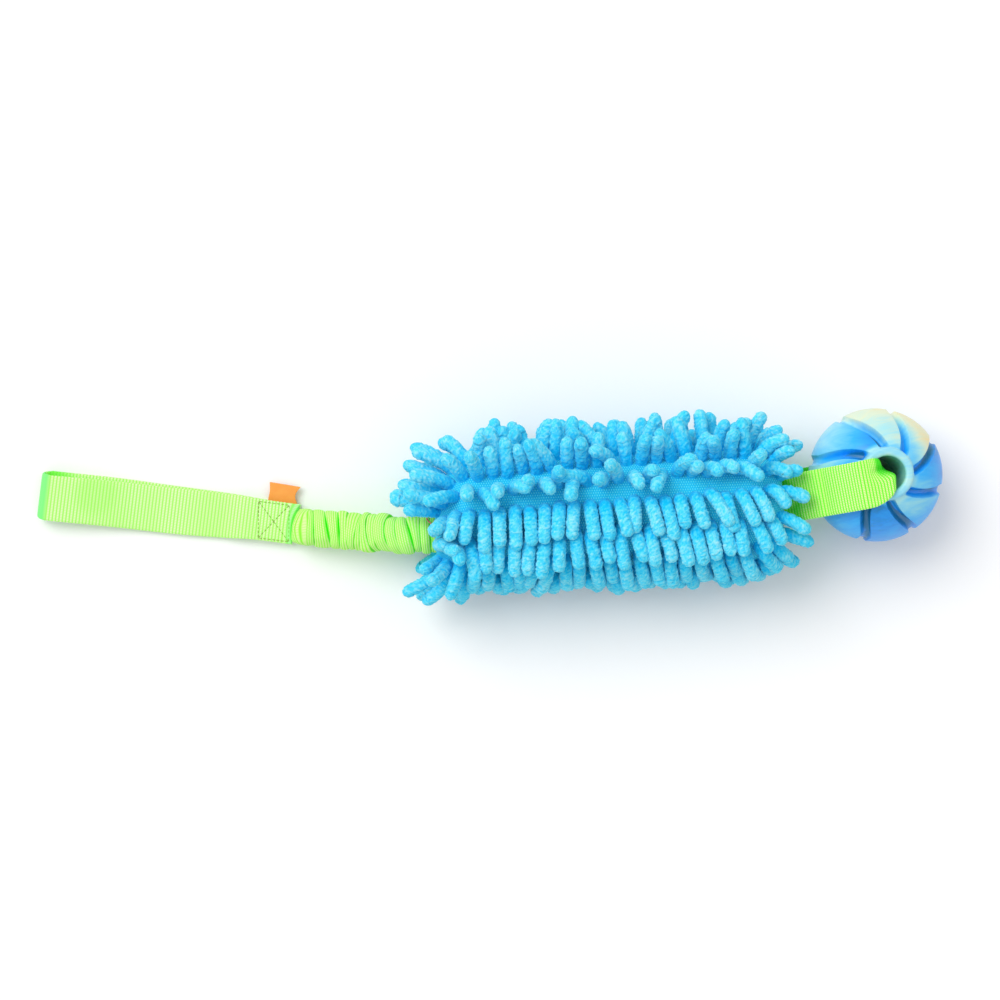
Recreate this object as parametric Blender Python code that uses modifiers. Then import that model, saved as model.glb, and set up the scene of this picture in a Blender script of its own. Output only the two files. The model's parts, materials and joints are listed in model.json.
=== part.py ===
"""Bungee tug toy: a webbing handle, a ruched bungee sleeve, a noodle mop and a grooved ball on a webbing loop.

The toy lies flat on z = 0 with its length along X. Sizes are in metres, angles in degrees.
"""

import math
import random

import bmesh
import bpy
from mathutils import Matrix, Vector

# Clearances
GAP = 0.0003
SEAM_GAP = 0.0010
CORE_GAP = 0.0010

# Webbing, as bought
WEB_WIDTH = 0.025
WEB_THICK = 0.0017

# Handle loop
HANDLE_LENGTH = 0.1345
HANDLE_YAW = -7.0
HANDLE_FOLD_HEIGHT = 0.0104
HANDLE_FLARE_FROM = 0.006
HANDLE_FLARE = 0.058
HANDLE_SKEW = 0.0024
LAYERS_PART = 0.016
TAB_CLEAR = 0.004
BOX_LENGTH = 0.0165
BOX_FROM_EDGE = 0.00275
BOX_INSET = 0.0008
THREAD_WIDTH = 0.0009
THREAD_HEIGHT = 0.0005

# Sleeve end tab, sewn between the two layers of the handle
TAB_LENGTH = 0.019
TAB_HALF_WIDTH = 0.0078
TAB_THICK = 0.0026

# Label ribbon, bare
LABEL_WIDTH = 0.0162
LABEL_SHOWN = 0.009
LABEL_TUCK = 0.0040
LABEL_THICK = 0.0005
LABEL_FOLD_GAP = 0.0006
LABEL_FROM_END = 0.0035

# Ruched sleeve and the elastic in it
SLEEVE_LENGTH = 0.0790
SLEEVE_YAW = -2.77
SLEEVE_TUCK = 0.013
SLEEVE_HALF_WIDTH = 0.0102
SLEEVE_HALF_HEIGHT = 0.0097
SLEEVE_TAPER = 0.014
SLEEVE_CLEAR = 0.0016
SLEEVE_OFF_FLOOR = 0.0024
SLEEVE_SIDES = 12
GATHERS = 13
GATHER_DEPTH = 0.0012
GATHER_HALF = 0.27
GATHER_SECOND = 0.6
ELASTIC_RADIUS = 0.0050
ELASTIC_ROOM = 0.0011
SWING_FROM_MOP = 0.022
TACK_RADIUS = 0.0004
TACK_FROM_MOP = 0.0035
TACK_FROM = 40.0
TACK_SWEEP = 50.0
TACK_WAVER = 0.0012

# Mop body: a wadding core in a noodle cover
MOP_PLACE = Vector((0.0577, -0.0058))
MOP_YAW = 2.36
MOP_LENGTH = 0.181
MOP_OFF_FLOOR = 0.008
COVER_RADIUS = 0.030
COVER_THICK = 0.0020
SHOULDER = 0.021
SHOULDER_TURNS = (24.0, 48.0, 76.0)
SLEEVE_END_WALL = 0.0048
LOOP_END_WALL = 0.0065
HANDLE_END_SHIFT = Vector((0.0, -0.0088, -0.0078))
BALL_END_ASIDE = 0.0021
BALL_END_OVER_LOOP = 0.0004
CORE_FROM_END = 0.0215
CORE_ROUND = 0.009
CORE_SIDES = 28
STRAP_PAST_HANDLE_END = 0.002
STRAP_PAST_BALL_END = 0.007
STRAP_SLOT_EXTRA = 0.0006
HEM_THICK = 0.0024
HEM_THREAD = 0.0006
HEM_SIDES = 24

# Noodles on the cover
NOODLE_ROWS = 12
NOODLE_PITCH = 0.0070
FIRST_ROW = 85.0
ROWS_A_SLICE = 2
NOODLE_LENGTH = 0.0195
NOODLE_RADIUS = 0.0033
NOODLE_TAPER = (0.85, 1.0, 0.76)
NOODLE_ROOT = 0.0012
ODD_ROW_STARTS = 0.3
NOODLE_RISE = 0.0065
NOODLE_UNEVEN = 0.06
NOODLE_DRIFT = 0.035
END_SPLAY = 0.5
BEND_BACK = 0.45
BEND_AT = 0.42
STRAIGHT_WITHIN = 24.0
COMB_OVER = 2.6
COMB_AT = 98.0
COMB_SPREAD = 38.0
SAG = 0.9
SAG_AT = 150.0
SAG_SPREAD = 45.0
LEAST_SIDE = 0.35
FLOOR_SINK = 0.0005
LOOP_NEEDS_FROM = 0.55
LOOP_NEEDS = 0.75
SLEEVE_NEEDS_FROM = -0.70
SLEEVE_NEEDS = -0.90
FAR_APART = 0.06
PATH_STEP = 0.0005

# Ball and its loop
BALL_RADIUS = 0.035
BALL_BORE = 0.0092
BALL_TILT = 4.0
BALL_SIDES = 32
BALL_FROM_MOP_SHARE = 0.48
BALL_ASIDE = 0.0034
COLLAR_WALL = 0.0043
COLLAR_BELOW_POLE = 0.0004
COLLAR_ROUND = 0.0016
COLLAR_STEP = 1.5
GROOVES = 8
GROOVE_WIDTH = 0.0052
GROOVE_DEPTH = 0.0044
GROOVE_FROM_COLLAR = 4.3
GROOVE_TWIST = 0.85
GROOVE_START = 21.0
GROOVE_RINGS = 15
GROOVE_FADE = 0.45
GROOVE_PROUD = 0.003
LOOP_YAW = 11.0
LOOP_TUCK = 0.0190
LOOP_PARTS_AT = -0.0060
LOOP_OFF_BALL = 0.0002
LOOP_OVER_COLLAR = 0.0010
LOOP_MOUTH_ROOM = 0.0012
LOOP_CURL = 0.0040
LOOP_IN_BORE = 0.0030
LOOP_LIFTS_BEFORE_COLLAR = 17.3
LOOP_HOLE_ROOM = 0.0013
LOOP_HOLE_HEIGHT = 0.0216

# What follows from these
MOP_CENTRE = Vector((*MOP_PLACE, COVER_RADIUS + MOP_OFF_FLOOR))
HANDLE_END_RADIUS = SLEEVE_HALF_WIDTH + SLEEVE_END_WALL
BALL_END_RADIUS = WEB_WIDTH / 2.0 + LOOP_END_WALL
CORE_LENGTH = MOP_LENGTH - 2.0 * CORE_FROM_END
BOX_WIDTH = WEB_WIDTH - 2.0 * BOX_FROM_EDGE
SLEEVE_BORE = ELASTIC_RADIUS + ELASTIC_ROOM
COLLAR_RADIUS = BALL_BORE + COLLAR_WALL
COLLAR_TOP = BALL_RADIUS - COLLAR_BELOW_POLE
COLLAR_ANGLE = math.degrees(math.asin(COLLAR_RADIUS / BALL_RADIUS))
GROOVE_FROM = COLLAR_ANGLE + GROOVE_FROM_COLLAR
BALL_REACH = BALL_RADIUS * (1.0 + BALL_FROM_MOP_SHARE)
LOOP_MOUTH_HALF = BALL_BORE - LOOP_MOUTH_ROOM
BALL_HEIGHT = COLLAR_TOP + LOOP_OVER_COLLAR + GAP + WEB_THICK
BALL_END_SHIFT = Vector((0.0, BALL_END_ASIDE, BALL_HEIGHT + BALL_END_OVER_LOOP - MOP_CENTRE.z))


def collection(name):
    made = bpy.data.collections.new(name)
    bpy.context.scene.collection.children.link(made)
    return made


def paint(name, colour, roughness):
    material = bpy.data.materials.new(name)
    material.use_nodes = True
    shader = material.node_tree.nodes["Principled BSDF"]
    shader.inputs["Base Color"].default_value = (*colour, 1.0)
    shader.inputs["Roughness"].default_value = roughness
    shader.inputs["Metallic"].default_value = 0.0
    return material


def pose(place, yaw=0.0, tilt=0.0):
    turn = Matrix.Rotation(math.radians(yaw), 4, "Z") @ Matrix.Rotation(math.radians(tilt), 4, "Y")
    return Matrix.Translation(place) @ turn


def frame(name, place, parent=None):
    """An empty that carries the pieces of one body. Its place is given in the toy's own frame."""
    made = bpy.data.objects.new(name, None)
    made.empty_display_size = 0.01
    made.parent = parent
    made.matrix_basis = world_of(parent).inverted() @ place
    parts.objects.link(made)
    return made


def world_of(empty):
    """Where an empty is in the toy's frame, before the toy is moved to its origin."""
    if empty is None:
        return Matrix.Identity(4)
    return world_of(empty.parent) @ empty.matrix_basis


def piece(name, mesh, material, parent, smooth=35.0):
    made = bpy.data.objects.new(name, mesh)
    made.parent = parent
    mesh.materials.append(material)
    mesh.shade_smooth()
    mesh.set_sharp_from_angle(angle=math.radians(smooth))
    parts.objects.link(made)
    return made


def cutter(name, mesh, parent):
    made = bpy.data.objects.new(name, mesh)
    made.parent = parent
    made.hide_render = True
    made.display_type = "WIRE"
    cutters.objects.link(made)
    return made


def boolean(target, tool, operation, solver="EXACT"):
    modifier = target.modifiers.new(tool.name, "BOOLEAN")
    modifier.operation = operation
    modifier.object = tool
    modifier.solver = solver
    return modifier


def solidify(target, thickness, offset=0.0):
    modifier = target.modifiers.new("thickness", "SOLIDIFY")
    modifier.thickness = thickness
    modifier.offset = offset
    modifier.use_even_offset = True
    return modifier


def ease(value):
    """A smooth step from 0 to 1."""
    held = min(1.0, max(0.0, value))
    return held * held * (3.0 - 2.0 * held)


def bell(angle, centre, spread):
    off = (angle - centre + 180.0) % 360.0 - 180.0
    return math.exp(-((off / spread) ** 2))


def loft(name, rings, capped=True):
    """A mesh through rings of points, each ring with as many points as the next."""
    built = bmesh.new()
    add_loft(built, rings, capped)
    bmesh.ops.recalc_face_normals(built, faces=built.faces)
    mesh = bpy.data.meshes.new(name)
    built.to_mesh(mesh)
    built.free()
    return mesh


def add_loft(built, rings, capped=True):
    rows = [[built.verts.new(point) for point in ring] for ring in rings]
    count = len(rows[0])
    for row, following in zip(rows, rows[1:]):
        for i in range(count):
            j = (i + 1) % count
            built.faces.new((row[i], row[j], following[j], following[i]))
    if capped:
        built.faces.new(tuple(reversed(rows[0])))
        built.faces.new(tuple(rows[-1]))


def ribbon(name, rows):
    """An open sheet through rows of points, for Solidify."""
    built = bmesh.new()
    made = [[built.verts.new(point) for point in row] for row in rows]
    for row, following in zip(made, made[1:]):
        for i in range(len(row) - 1):
            built.faces.new((row[i], row[i + 1], following[i + 1], following[i]))
    mesh = bpy.data.meshes.new(name)
    built.to_mesh(mesh)
    built.free()
    return mesh


def box(name, low, high):
    built = bmesh.new()
    size = high - low
    place = Matrix.Translation((low + high) / 2.0) @ Matrix.Diagonal((*size, 1.0))
    bmesh.ops.create_cube(built, size=1.0, matrix=place)
    mesh = bpy.data.meshes.new(name)
    built.to_mesh(mesh)
    built.free()
    return mesh


def ellipse(centre, across, up, half_width, half_height, sides):
    turn = 2.0 * math.pi / sides
    return [
        centre + across * (half_width * math.cos(i * turn)) + up * (half_height * math.sin(i * turn))
        for i in range(sides)
    ]


def turned(name, profile, steps):
    """A closed profile of (radius, height) points, turned about Z with a Screw modifier."""
    built = bmesh.new()
    verts = [built.verts.new((radius, 0.0, height)) for radius, height in profile]
    for i, vert in enumerate(verts):
        built.edges.new((vert, verts[(i + 1) % len(verts)]))
    mesh = bpy.data.meshes.new(name)
    built.to_mesh(mesh)
    built.free()
    scratch = bpy.data.objects.new(name, mesh)
    cutters.objects.link(scratch)
    screw = scratch.modifiers.new("turn", "SCREW")
    screw.steps = steps
    screw.render_steps = steps
    screw.merge_threshold = 0.00001
    screw.use_merge_vertices = True
    solid = evaluated(scratch)
    fix = bmesh.new()
    fix.from_mesh(solid)
    bmesh.ops.recalc_face_normals(fix, faces=fix.faces)
    fix.to_mesh(solid)
    fix.free()
    return solid


def evaluated(scratch):
    """The object's mesh with its modifiers or bevel applied and its caps welded. The object is removed."""
    graph = bpy.context.evaluated_depsgraph_get()
    mesh = bpy.data.meshes.new_from_object(scratch.evaluated_get(graph))
    welded = bmesh.new()
    welded.from_mesh(mesh)
    bmesh.ops.remove_doubles(welded, verts=welded.verts, dist=0.00001)
    welded.to_mesh(mesh)
    welded.free()
    bpy.data.objects.remove(scratch)
    return mesh


def tube(name, points, radius, resolution=2):
    """A round cord through the points."""
    data = bpy.data.curves.new(name, "CURVE")
    data.dimensions = "3D"
    data.bevel_depth = radius
    data.bevel_resolution = resolution
    data.use_fill_caps = True
    spline = data.splines.new("POLY")
    spline.points.add(len(points) - 1)
    for point, place in zip(spline.points, points):
        point.co = (*place, 1.0)
    scratch = bpy.data.objects.new(name, data)
    cutters.objects.link(scratch)
    return evaluated(scratch)


def path_frame(points, i):
    """The direction along a path at one of its points."""
    before = points[max(0, i - 1)]
    after = points[min(len(points) - 1, i + 1)]
    return (after - before).normalized()


# Handle

LAYER_Z = WEB_THICK / 2.0
UPPER_Z = WEB_THICK + GAP + TAB_THICK + GAP + WEB_THICK / 2.0
CLOSED_Z = WEB_THICK + 2.0 * GAP + WEB_THICK / 2.0
TAB_Z = WEB_THICK + GAP + TAB_THICK / 2.0


def handle_upper_height(x):
    """The middle of the upper layer above the floor, x being the distance from the fold."""
    fold = HANDLE_FOLD_HEIGHT - WEB_THICK / 2.0
    apart_from = HANDLE_LENGTH - TAB_LENGTH - TAB_CLEAR - LAYERS_PART
    flared = fold + (CLOSED_Z - fold) * ease((x - HANDLE_FLARE_FROM) / HANDLE_FLARE)
    return flared + (UPPER_Z - CLOSED_Z) * ease((x - apart_from) / LAYERS_PART)


def handle_path():
    """(x, y shift, z) from the end of the upper layer round the fold to the end of the lower layer."""
    radius = (HANDLE_FOLD_HEIGHT - WEB_THICK) / 2.0
    steps = 26
    reach = HANDLE_LENGTH - radius
    upper = []
    for i in range(steps):
        x = HANDLE_LENGTH - reach * i / steps
        upper.append((x, 0.0, handle_upper_height(x)))
    centre = LAYER_Z + radius
    arc = []
    for i in range(9):
        turn = math.pi * i / 8
        x = radius - radius * math.sin(turn)
        arc.append((x, HANDLE_SKEW * i / 8, centre + radius * math.cos(turn)))
    lower = []
    for i in range(1, 9):
        share = i / 8
        x = radius + (HANDLE_LENGTH - radius) * share
        lower.append((x, HANDLE_SKEW * (1.0 - share), LAYER_Z))
    return upper + arc + lower


def handle_webbing(parent):
    half = WEB_WIDTH / 2.0
    rows = []
    for x, shift, z in handle_path():
        along = -(HANDLE_LENGTH - x)
        height = z - TAB_Z
        rows.append([Vector((along, shift - half, height)), Vector((along, shift + half, height))])
    made = piece("handle_webbing", ribbon("handle_webbing", rows), green_webbing, parent)
    solidify(made, WEB_THICK)
    return made


def box_centre():
    return Vector((-BOX_INSET - BOX_LENGTH / 2.0, 0.0, 0.0))


def stitched_box(name, height, parent):
    """A box of thread with its two diagonals, as one flat body."""
    data = bpy.data.curves.new(name, "CURVE")
    data.dimensions = "2D"
    data.fill_mode = "BOTH"
    data.extrude = THREAD_HEIGHT / 2.0
    half_x = BOX_LENGTH / 2.0
    half_y = BOX_WIDTH / 2.0
    outline(data, [(-half_x, -half_y), (half_x, -half_y), (half_x, half_y), (-half_x, half_y)])
    rim = THREAD_WIDTH
    slope = math.hypot(half_x, half_y)
    in_x = THREAD_WIDTH / 2.0 * slope / half_y
    in_y = THREAD_WIDTH / 2.0 * slope / half_x
    for side in (-1, 1):
        corner_x = half_x - rim
        corner_y = half_y - rim
        near_x = corner_y * half_x / half_y - in_x
        near_y = corner_x * half_y / half_x - in_y
        outline(data, [(0.0, side * in_y), (near_x, side * corner_y), (-near_x, side * corner_y)])
        outline(data, [(side * in_x, 0.0), (side * corner_x, near_y), (side * corner_x, -near_y)])
    scratch = bpy.data.objects.new(name, data)
    cutters.objects.link(scratch)
    mesh = evaluated(scratch)
    made = piece(name, mesh, stitch_thread, parent)
    made.location = box_centre() + Vector((0.0, 0.0, height - TAB_Z))
    return made


def outline(data, corners):
    spline = data.splines.new("POLY")
    spline.points.add(len(corners) - 1)
    spline.use_cyclic_u = True
    for point, (x, y) in zip(spline.points, corners):
        point.co = (x, y, 0.0, 1.0)


def label_tab(parent):
    """A ribbon folded once, its two ends sewn into the edge of the handle."""
    inner = WEB_WIDTH / 2.0 - LABEL_TUCK
    outer = WEB_WIDTH / 2.0 + LABEL_SHOWN
    radius = (LABEL_FOLD_GAP + LABEL_THICK) / 2.0
    line = [(inner, radius)]
    for i in range(7):
        turn = math.pi * i / 6
        line.append((outer - radius + radius * math.sin(turn), radius * math.cos(turn)))
    line.append((inner, -radius))
    right = -LABEL_FROM_END
    left = right - LABEL_WIDTH
    rows = [[Vector((left, y, z)), Vector((right, y, z))] for y, z in line]
    made = piece("label_tab", ribbon("label_tab", rows), orange_ribbon, parent)
    solidify(made, LABEL_THICK)
    return made


# Bungee

def sleeve_mouth():
    """Where the sleeve goes into the mop, in the toy's frame."""
    return world_of(mop_frame) @ (Vector((-MOP_LENGTH / 2.0, 0.0, 0.0)) + HANDLE_END_SHIFT)


def handle_end():
    """The end of the handle on the floor plan, a sleeve's length from the mop."""
    back = Matrix.Rotation(math.radians(SLEEVE_YAW), 3, "Z") @ Vector((-SLEEVE_LENGTH, 0.0, 0.0))
    place = sleeve_mouth() + back
    return Vector((place.x, place.y, 0.0))


def sleeve_point(s):
    """The middle of the sleeve at a distance s from the handle's end, negative in the tab."""
    start = handle_end()
    mouth = sleeve_mouth()
    leave = Matrix.Rotation(math.radians(HANDLE_YAW), 3, "Z") @ Vector((1.0, 0.0, 0.0))
    enter = Matrix.Rotation(math.radians(MOP_YAW), 3, "Z") @ Vector((1.0, 0.0, 0.0))
    if s <= 0.0:
        place = start + leave * s
        return Vector((place.x, place.y, TAB_Z))
    share = s / SLEEVE_LENGTH
    if share >= 1.0:
        return mouth + enter * (s - SLEEVE_LENGTH)
    left = share * (1.0 - share) ** 2
    right = share ** 2 * (1.0 - share)
    flat = (mouth - start).to_2d()
    bow = (leave.to_2d() * left - enter.to_2d() * right) * SLEEVE_LENGTH
    place = start.to_2d() + flat * (share - left + right) + bow
    lying = SLEEVE_OFF_FLOOR + SLEEVE_HALF_HEIGHT + GATHER_DEPTH / 2.0
    low = TAB_Z + (lying - TAB_Z) * sleeve_opens(s)
    return Vector((place.x, place.y, low + (mouth.z - low) * ease(share)))


def sleeve_opens(s):
    """0 where the sleeve is pressed flat between the handle's layers, 1 where it is round."""
    return ease((s - SLEEVE_CLEAR) / SLEEVE_TAPER)


def sleeve_stations():
    """Distances along the sleeve, each with its swell: 1 on a gather's crest and -1 in the fold after it."""
    stations = [(-TAB_LENGTH, 0.0), (SLEEVE_CLEAR, 0.0)]
    start = 2.0 * SLEEVE_CLEAR
    end = SLEEVE_LENGTH + SLEEVE_TUCK
    pitch = (end - start) / GATHERS
    for i in range(GATHERS):
        middle = start + pitch * (i + 0.5)
        stations.append((middle - GATHER_HALF * pitch, 1.0))
        stations.append((middle + GATHER_HALF * pitch, GATHER_SECOND))
        stations.append((middle + 0.5 * pitch, -1.0))
    return stations


def sleeve_rings(stations):
    rings = []
    for s, wave in stations:
        along = (sleeve_point(s + PATH_STEP) - sleeve_point(s - PATH_STEP)).normalized()
        across = Vector((0.0, 0.0, 1.0)).cross(along).normalized()
        up = along.cross(across)
        opens = sleeve_opens(s)
        swell = wave * GATHER_DEPTH / 2.0
        width = TAB_HALF_WIDTH + (SLEEVE_HALF_WIDTH + swell - TAB_HALF_WIDTH) * opens
        height = TAB_THICK / 2.0 + (SLEEVE_HALF_HEIGHT + swell - TAB_THICK / 2.0) * opens
        rings.append(ellipse(sleeve_point(s), across, up, width, height, SLEEVE_SIDES))
    return rings


def bungee_sleeve(parent):
    mesh = loft("bungee_sleeve", sleeve_rings(sleeve_stations()))
    made = piece("bungee_sleeve", into(mesh, parent), green_webbing, parent)
    points = sleeve_run(SLEEVE_TAPER + SLEEVE_CLEAR, SLEEVE_LENGTH + SLEEVE_TUCK + WEB_THICK)
    bore = cutter("sleeve_bore", into(tube("sleeve_bore", points, SLEEVE_BORE), parent), parent)
    boolean(made, bore, "DIFFERENCE")
    return made


def sleeve_run(start, end, steps=9):
    return [sleeve_point(start + (end - start) * i / steps) for i in range(steps + 1)]


def into(mesh, parent):
    """Takes a mesh made in the toy's frame into its parent's frame."""
    mesh.transform(world_of(parent).inverted())
    return mesh


def elastic_cord(parent):
    points = sleeve_run(SLEEVE_TAPER + SLEEVE_CLEAR + GAP, SLEEVE_LENGTH + SLEEVE_TUCK)
    mesh = tube("elastic_cord", points, ELASTIC_RADIUS)
    return piece("elastic_cord", into(mesh, parent), white_elastic, parent)


def sleeve_tack(parent):
    """A thread end left at the seam where the sleeve goes into the mop."""
    middle = sleeve_point(SLEEVE_LENGTH - TACK_FROM_MOP)
    height = SLEEVE_HALF_WIDTH + GATHER_DEPTH / 2.0 + TACK_RADIUS
    steps = 8
    points = []
    for i in range(steps + 1):
        waver = Vector((TACK_WAVER * math.sin(3.0 * math.pi * i / steps), 0.0, 0.0))
        points.append(middle + waver + around(TACK_FROM + TACK_SWEEP * i / steps) * height)
    mesh = tube("sleeve_tack", points, TACK_RADIUS)
    return piece("sleeve_tack", into(mesh, parent), red_thread, parent)


# Mop body

def shoulder_share(x):
    """0 on the straight of the body, 1 at its end, with the sign of the end."""
    straight = MOP_LENGTH / 2.0 - SHOULDER
    return math.copysign(max(0.0, abs(x) - straight) / SHOULDER, x)


def cover_ring(x):
    """The middle and the radius of the cover's outside at a place along the body."""
    share = shoulder_share(x)
    end_radius = BALL_END_RADIUS if share > 0.0 else HANDLE_END_RADIUS
    shift = BALL_END_SHIFT if share > 0.0 else HANDLE_END_SHIFT
    fall = 1.0 - math.sqrt(max(0.0, 1.0 - min(1.0, abs(share)) ** 2))
    radius = COVER_RADIUS - (COVER_RADIUS - end_radius) * fall
    middle = Vector((x, 0.0, 0.0)) + shift * fall
    return middle, radius


def around(angle):
    """The unit vector across the body, 0 degrees at +Y and 90 at +Z."""
    turn = math.radians(angle)
    return Vector((0.0, math.cos(turn), math.sin(turn)))


def cover_point(x, angle, depth=0.0):
    middle, radius = cover_ring(x)
    return middle + around(angle) * (radius - depth)


def cover_normal(x, angle):
    limit = MOP_LENGTH / 2.0 - PATH_STEP
    held = max(-limit, min(limit, x))
    along = cover_point(held + PATH_STEP, angle) - cover_point(held - PATH_STEP, angle)
    aside = cover_point(held, angle + 1.0) - cover_point(held, angle - 1.0)
    return aside.cross(along).normalized()


def slice_angles(index):
    width = 360.0 / NOODLE_ROWS * ROWS_A_SLICE
    first = FIRST_ROW - width / ROWS_A_SLICE / 2.0 + index * width
    gap = math.degrees(SEAM_GAP / COVER_RADIUS) / 2.0
    return first + gap, first + width - gap


def cover_stations():
    """Places along the body where the cover's outline turns."""
    straight = MOP_LENGTH / 2.0 - SHOULDER
    right = [straight]
    for turn in SHOULDER_TURNS:
        right.append(straight + SHOULDER * math.sin(math.radians(turn)))
    return [-x for x in reversed(right)] + right


def backing(index):
    low, high = slice_angles(index)
    pitch = 360.0 / NOODLE_ROWS
    columns = [low]
    for k in range(ROWS_A_SLICE):
        middle = FIRST_ROW + (index * ROWS_A_SLICE + k) * pitch
        columns += [middle - pitch / 4.0, middle + pitch / 4.0]
    columns.append(high)
    rows = []
    for x in cover_stations():
        rows.append([cover_point(x, angle) for angle in columns])
    return ribbon(f"noodle_cover_{index + 1}", rows)


def noodle_path(x, angle, length, drift):
    """The points of one noodle: its root in the cover, its bend where it leans over, and its tip."""
    root = cover_point(x, angle)
    normal = cover_normal(x, angle)
    upright = 1.0 - normal.x * normal.x
    over = COMB_OVER * bell(angle, COMB_AT, COMB_SPREAD)
    down = SAG * bell(angle, SAG_AT, SAG_SPREAD)
    lean = Vector((drift + END_SPLAY * normal.x, -over * upright, -down * upright))
    way = (normal + lean).normalized()
    tip = root + way * length
    floor = NOODLE_RADIUS / 2.0 - FLOOR_SINK - MOP_CENTRE.z
    if tip.z < floor:
        tip = lying_tip(root, way, length, floor)
    start = root - normal * NOODLE_ROOT
    if math.degrees((tip - root).angle(normal)) < STRAIGHT_WITHIN:
        return [start, tip]
    bend = (root + normal * NOODLE_RISE).lerp(root.lerp(tip, BEND_AT), BEND_BACK)
    bend.z = max(bend.z, floor)
    return [start, bend, tip]


def lying_tip(root, way, length, floor):
    """The tip of a noodle that reaches the floor and turns along it."""
    drop = floor - root.z
    flat = Vector((way.x, way.y, 0.0))
    if flat.length < LEAST_SIDE:
        flat = Vector((way.x, math.copysign(1.0, root.y), 0.0))
    reach = math.sqrt(max(0.0, length * length - drop * drop))
    return root + flat.normalized() * reach + Vector((0.0, 0.0, drop))


def noodle_rings(points):
    """Three-sided rings, all but a bent noodle's last in parallel planes, so its sides leave the cover flat."""
    root_way = (points[1] - points[0]).normalized()
    tip_way = (points[-1] - points[-2]).normalized()
    side = Vector((1.0, 0.0, 0.0)) - tip_way * tip_way.x
    if side.length < LEAST_SIDE:
        side = Vector((0.0, 0.0, 1.0)).cross(tip_way)
    if tip_way.cross(side).dot(root_way) < 0.0:
        side = -side
    rings = []
    for i, (point, share) in enumerate(zip(points, NOODLE_TAPER[-len(points):])):
        along = tip_way if i == 2 else root_way
        across = (side - along * side.dot(along)).normalized()
        up = along.cross(across)
        turns = [math.radians(degrees) for degrees in (30.0, 150.0, 270.0)]
        radius = NOODLE_RADIUS * share
        rings.append([point + (across * math.cos(turn) + up * math.sin(turn)) * radius for turn in turns])
    return rings


def has_room(x, angle):
    """False where the ball loop comes out above and below, and under the handle's end, where the floor is."""
    share = shoulder_share(x)
    height = around(angle).z
    if share > LOOP_NEEDS_FROM:
        return abs(height) < LOOP_NEEDS
    if share < SLEEVE_NEEDS_FROM:
        return height > SLEEVE_NEEDS
    return True


def noodle_places(row, angle):
    """Places along one row, a pitch apart when measured over the curve of the cover."""
    steps = 400
    half = MOP_LENGTH / 2.0 - NOODLE_RADIUS
    spots = [-half + 2.0 * half * i / steps for i in range(steps + 1)]
    runs = [0.0]
    for before, after in zip(spots, spots[1:]):
        runs.append(runs[-1] + (cover_point(after, angle) - cover_point(before, angle)).length)
    count = int(runs[-1] / NOODLE_PITCH)
    spare = runs[-1] - count * NOODLE_PITCH
    start = spare * (ODD_ROW_STARTS if row % 2 else 1.0 - ODD_ROW_STARTS)
    places = []
    for i in range(count + 1):
        wanted = start + NOODLE_PITCH * i
        nearest = min(range(steps + 1), key=lambda k: abs(runs[k] - wanted))
        places.append(spots[nearest])
    return places


def noodles_of(index, chance):
    paths = []
    for k in range(ROWS_A_SLICE):
        row = index * ROWS_A_SLICE + k
        angle = FIRST_ROW + row * 360.0 / NOODLE_ROWS
        for x in noodle_places(row, angle):
            length = NOODLE_LENGTH * (1.0 + chance.uniform(-NOODLE_UNEVEN, NOODLE_UNEVEN))
            drift = chance.uniform(-NOODLE_DRIFT, NOODLE_DRIFT)
            if has_room(x, angle):
                paths.append(noodle_path(x, angle, length, drift))
    return paths


def least_gap(paths):
    """The least distance between the middles of any two noodles, on points along them."""
    sampled = []
    for points in paths:
        run = []
        for start, end in zip(points, points[1:]):
            run += [start.lerp(end, t / 4.0) for t in range(5)]
        sampled.append(run)
    least = FAR_APART
    for i, first in enumerate(sampled):
        for second in sampled[i + 1 :]:
            if (first[0] - second[0]).length < FAR_APART:
                least = min(least, min((a - b).length for a in first for b in second))
    return least


def noodle_covers(parent):
    chance = random.Random(5)
    reach = MOP_LENGTH + NOODLE_LENGTH
    low = Vector((-reach, -reach, -MOP_CENTRE.z - NOODLE_LENGTH))
    floor = cutter("floor_cut", box("floor_cut", low, Vector((reach, reach, -MOP_CENTRE.z))), parent)
    all_paths = []
    for index in range(NOODLE_ROWS // ROWS_A_SLICE):
        paths = noodles_of(index, chance)
        all_paths += paths
        built = bmesh.new()
        for points in paths:
            add_loft(built, noodle_rings(points))
        bmesh.ops.recalc_face_normals(built, faces=built.faces)
        mesh = bpy.data.meshes.new(f"noodles_{index + 1}")
        built.to_mesh(mesh)
        built.free()
        strands = cutter(f"noodles_{index + 1}", mesh, parent)
        made = piece(f"noodle_cover_{index + 1}", backing(index), blue_chenille, parent, 50.0)
        solidify(made, COVER_THICK, -1.0)
        boolean(made, strands, "UNION", "MANIFOLD")
        lowest = min(point.z for points in paths for point in points)
        if lowest < NOODLE_RADIUS - MOP_CENTRE.z:
            boolean(made, floor, "DIFFERENCE")
    print(f"{len(all_paths)} noodles, {1000 * least_gap(all_paths):.2f} mm between the nearest two middles")


def strap_ends():
    """The ends of the strap through the core, in the body's frame."""
    half = CORE_LENGTH / 2.0
    left = Vector((-half - STRAP_PAST_HANDLE_END, HANDLE_END_SHIFT.y, HANDLE_END_SHIFT.z))
    right = Vector((half + STRAP_PAST_BALL_END, 0.0, BALL_HEIGHT - MOP_CENTRE.z))
    return left, right


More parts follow.
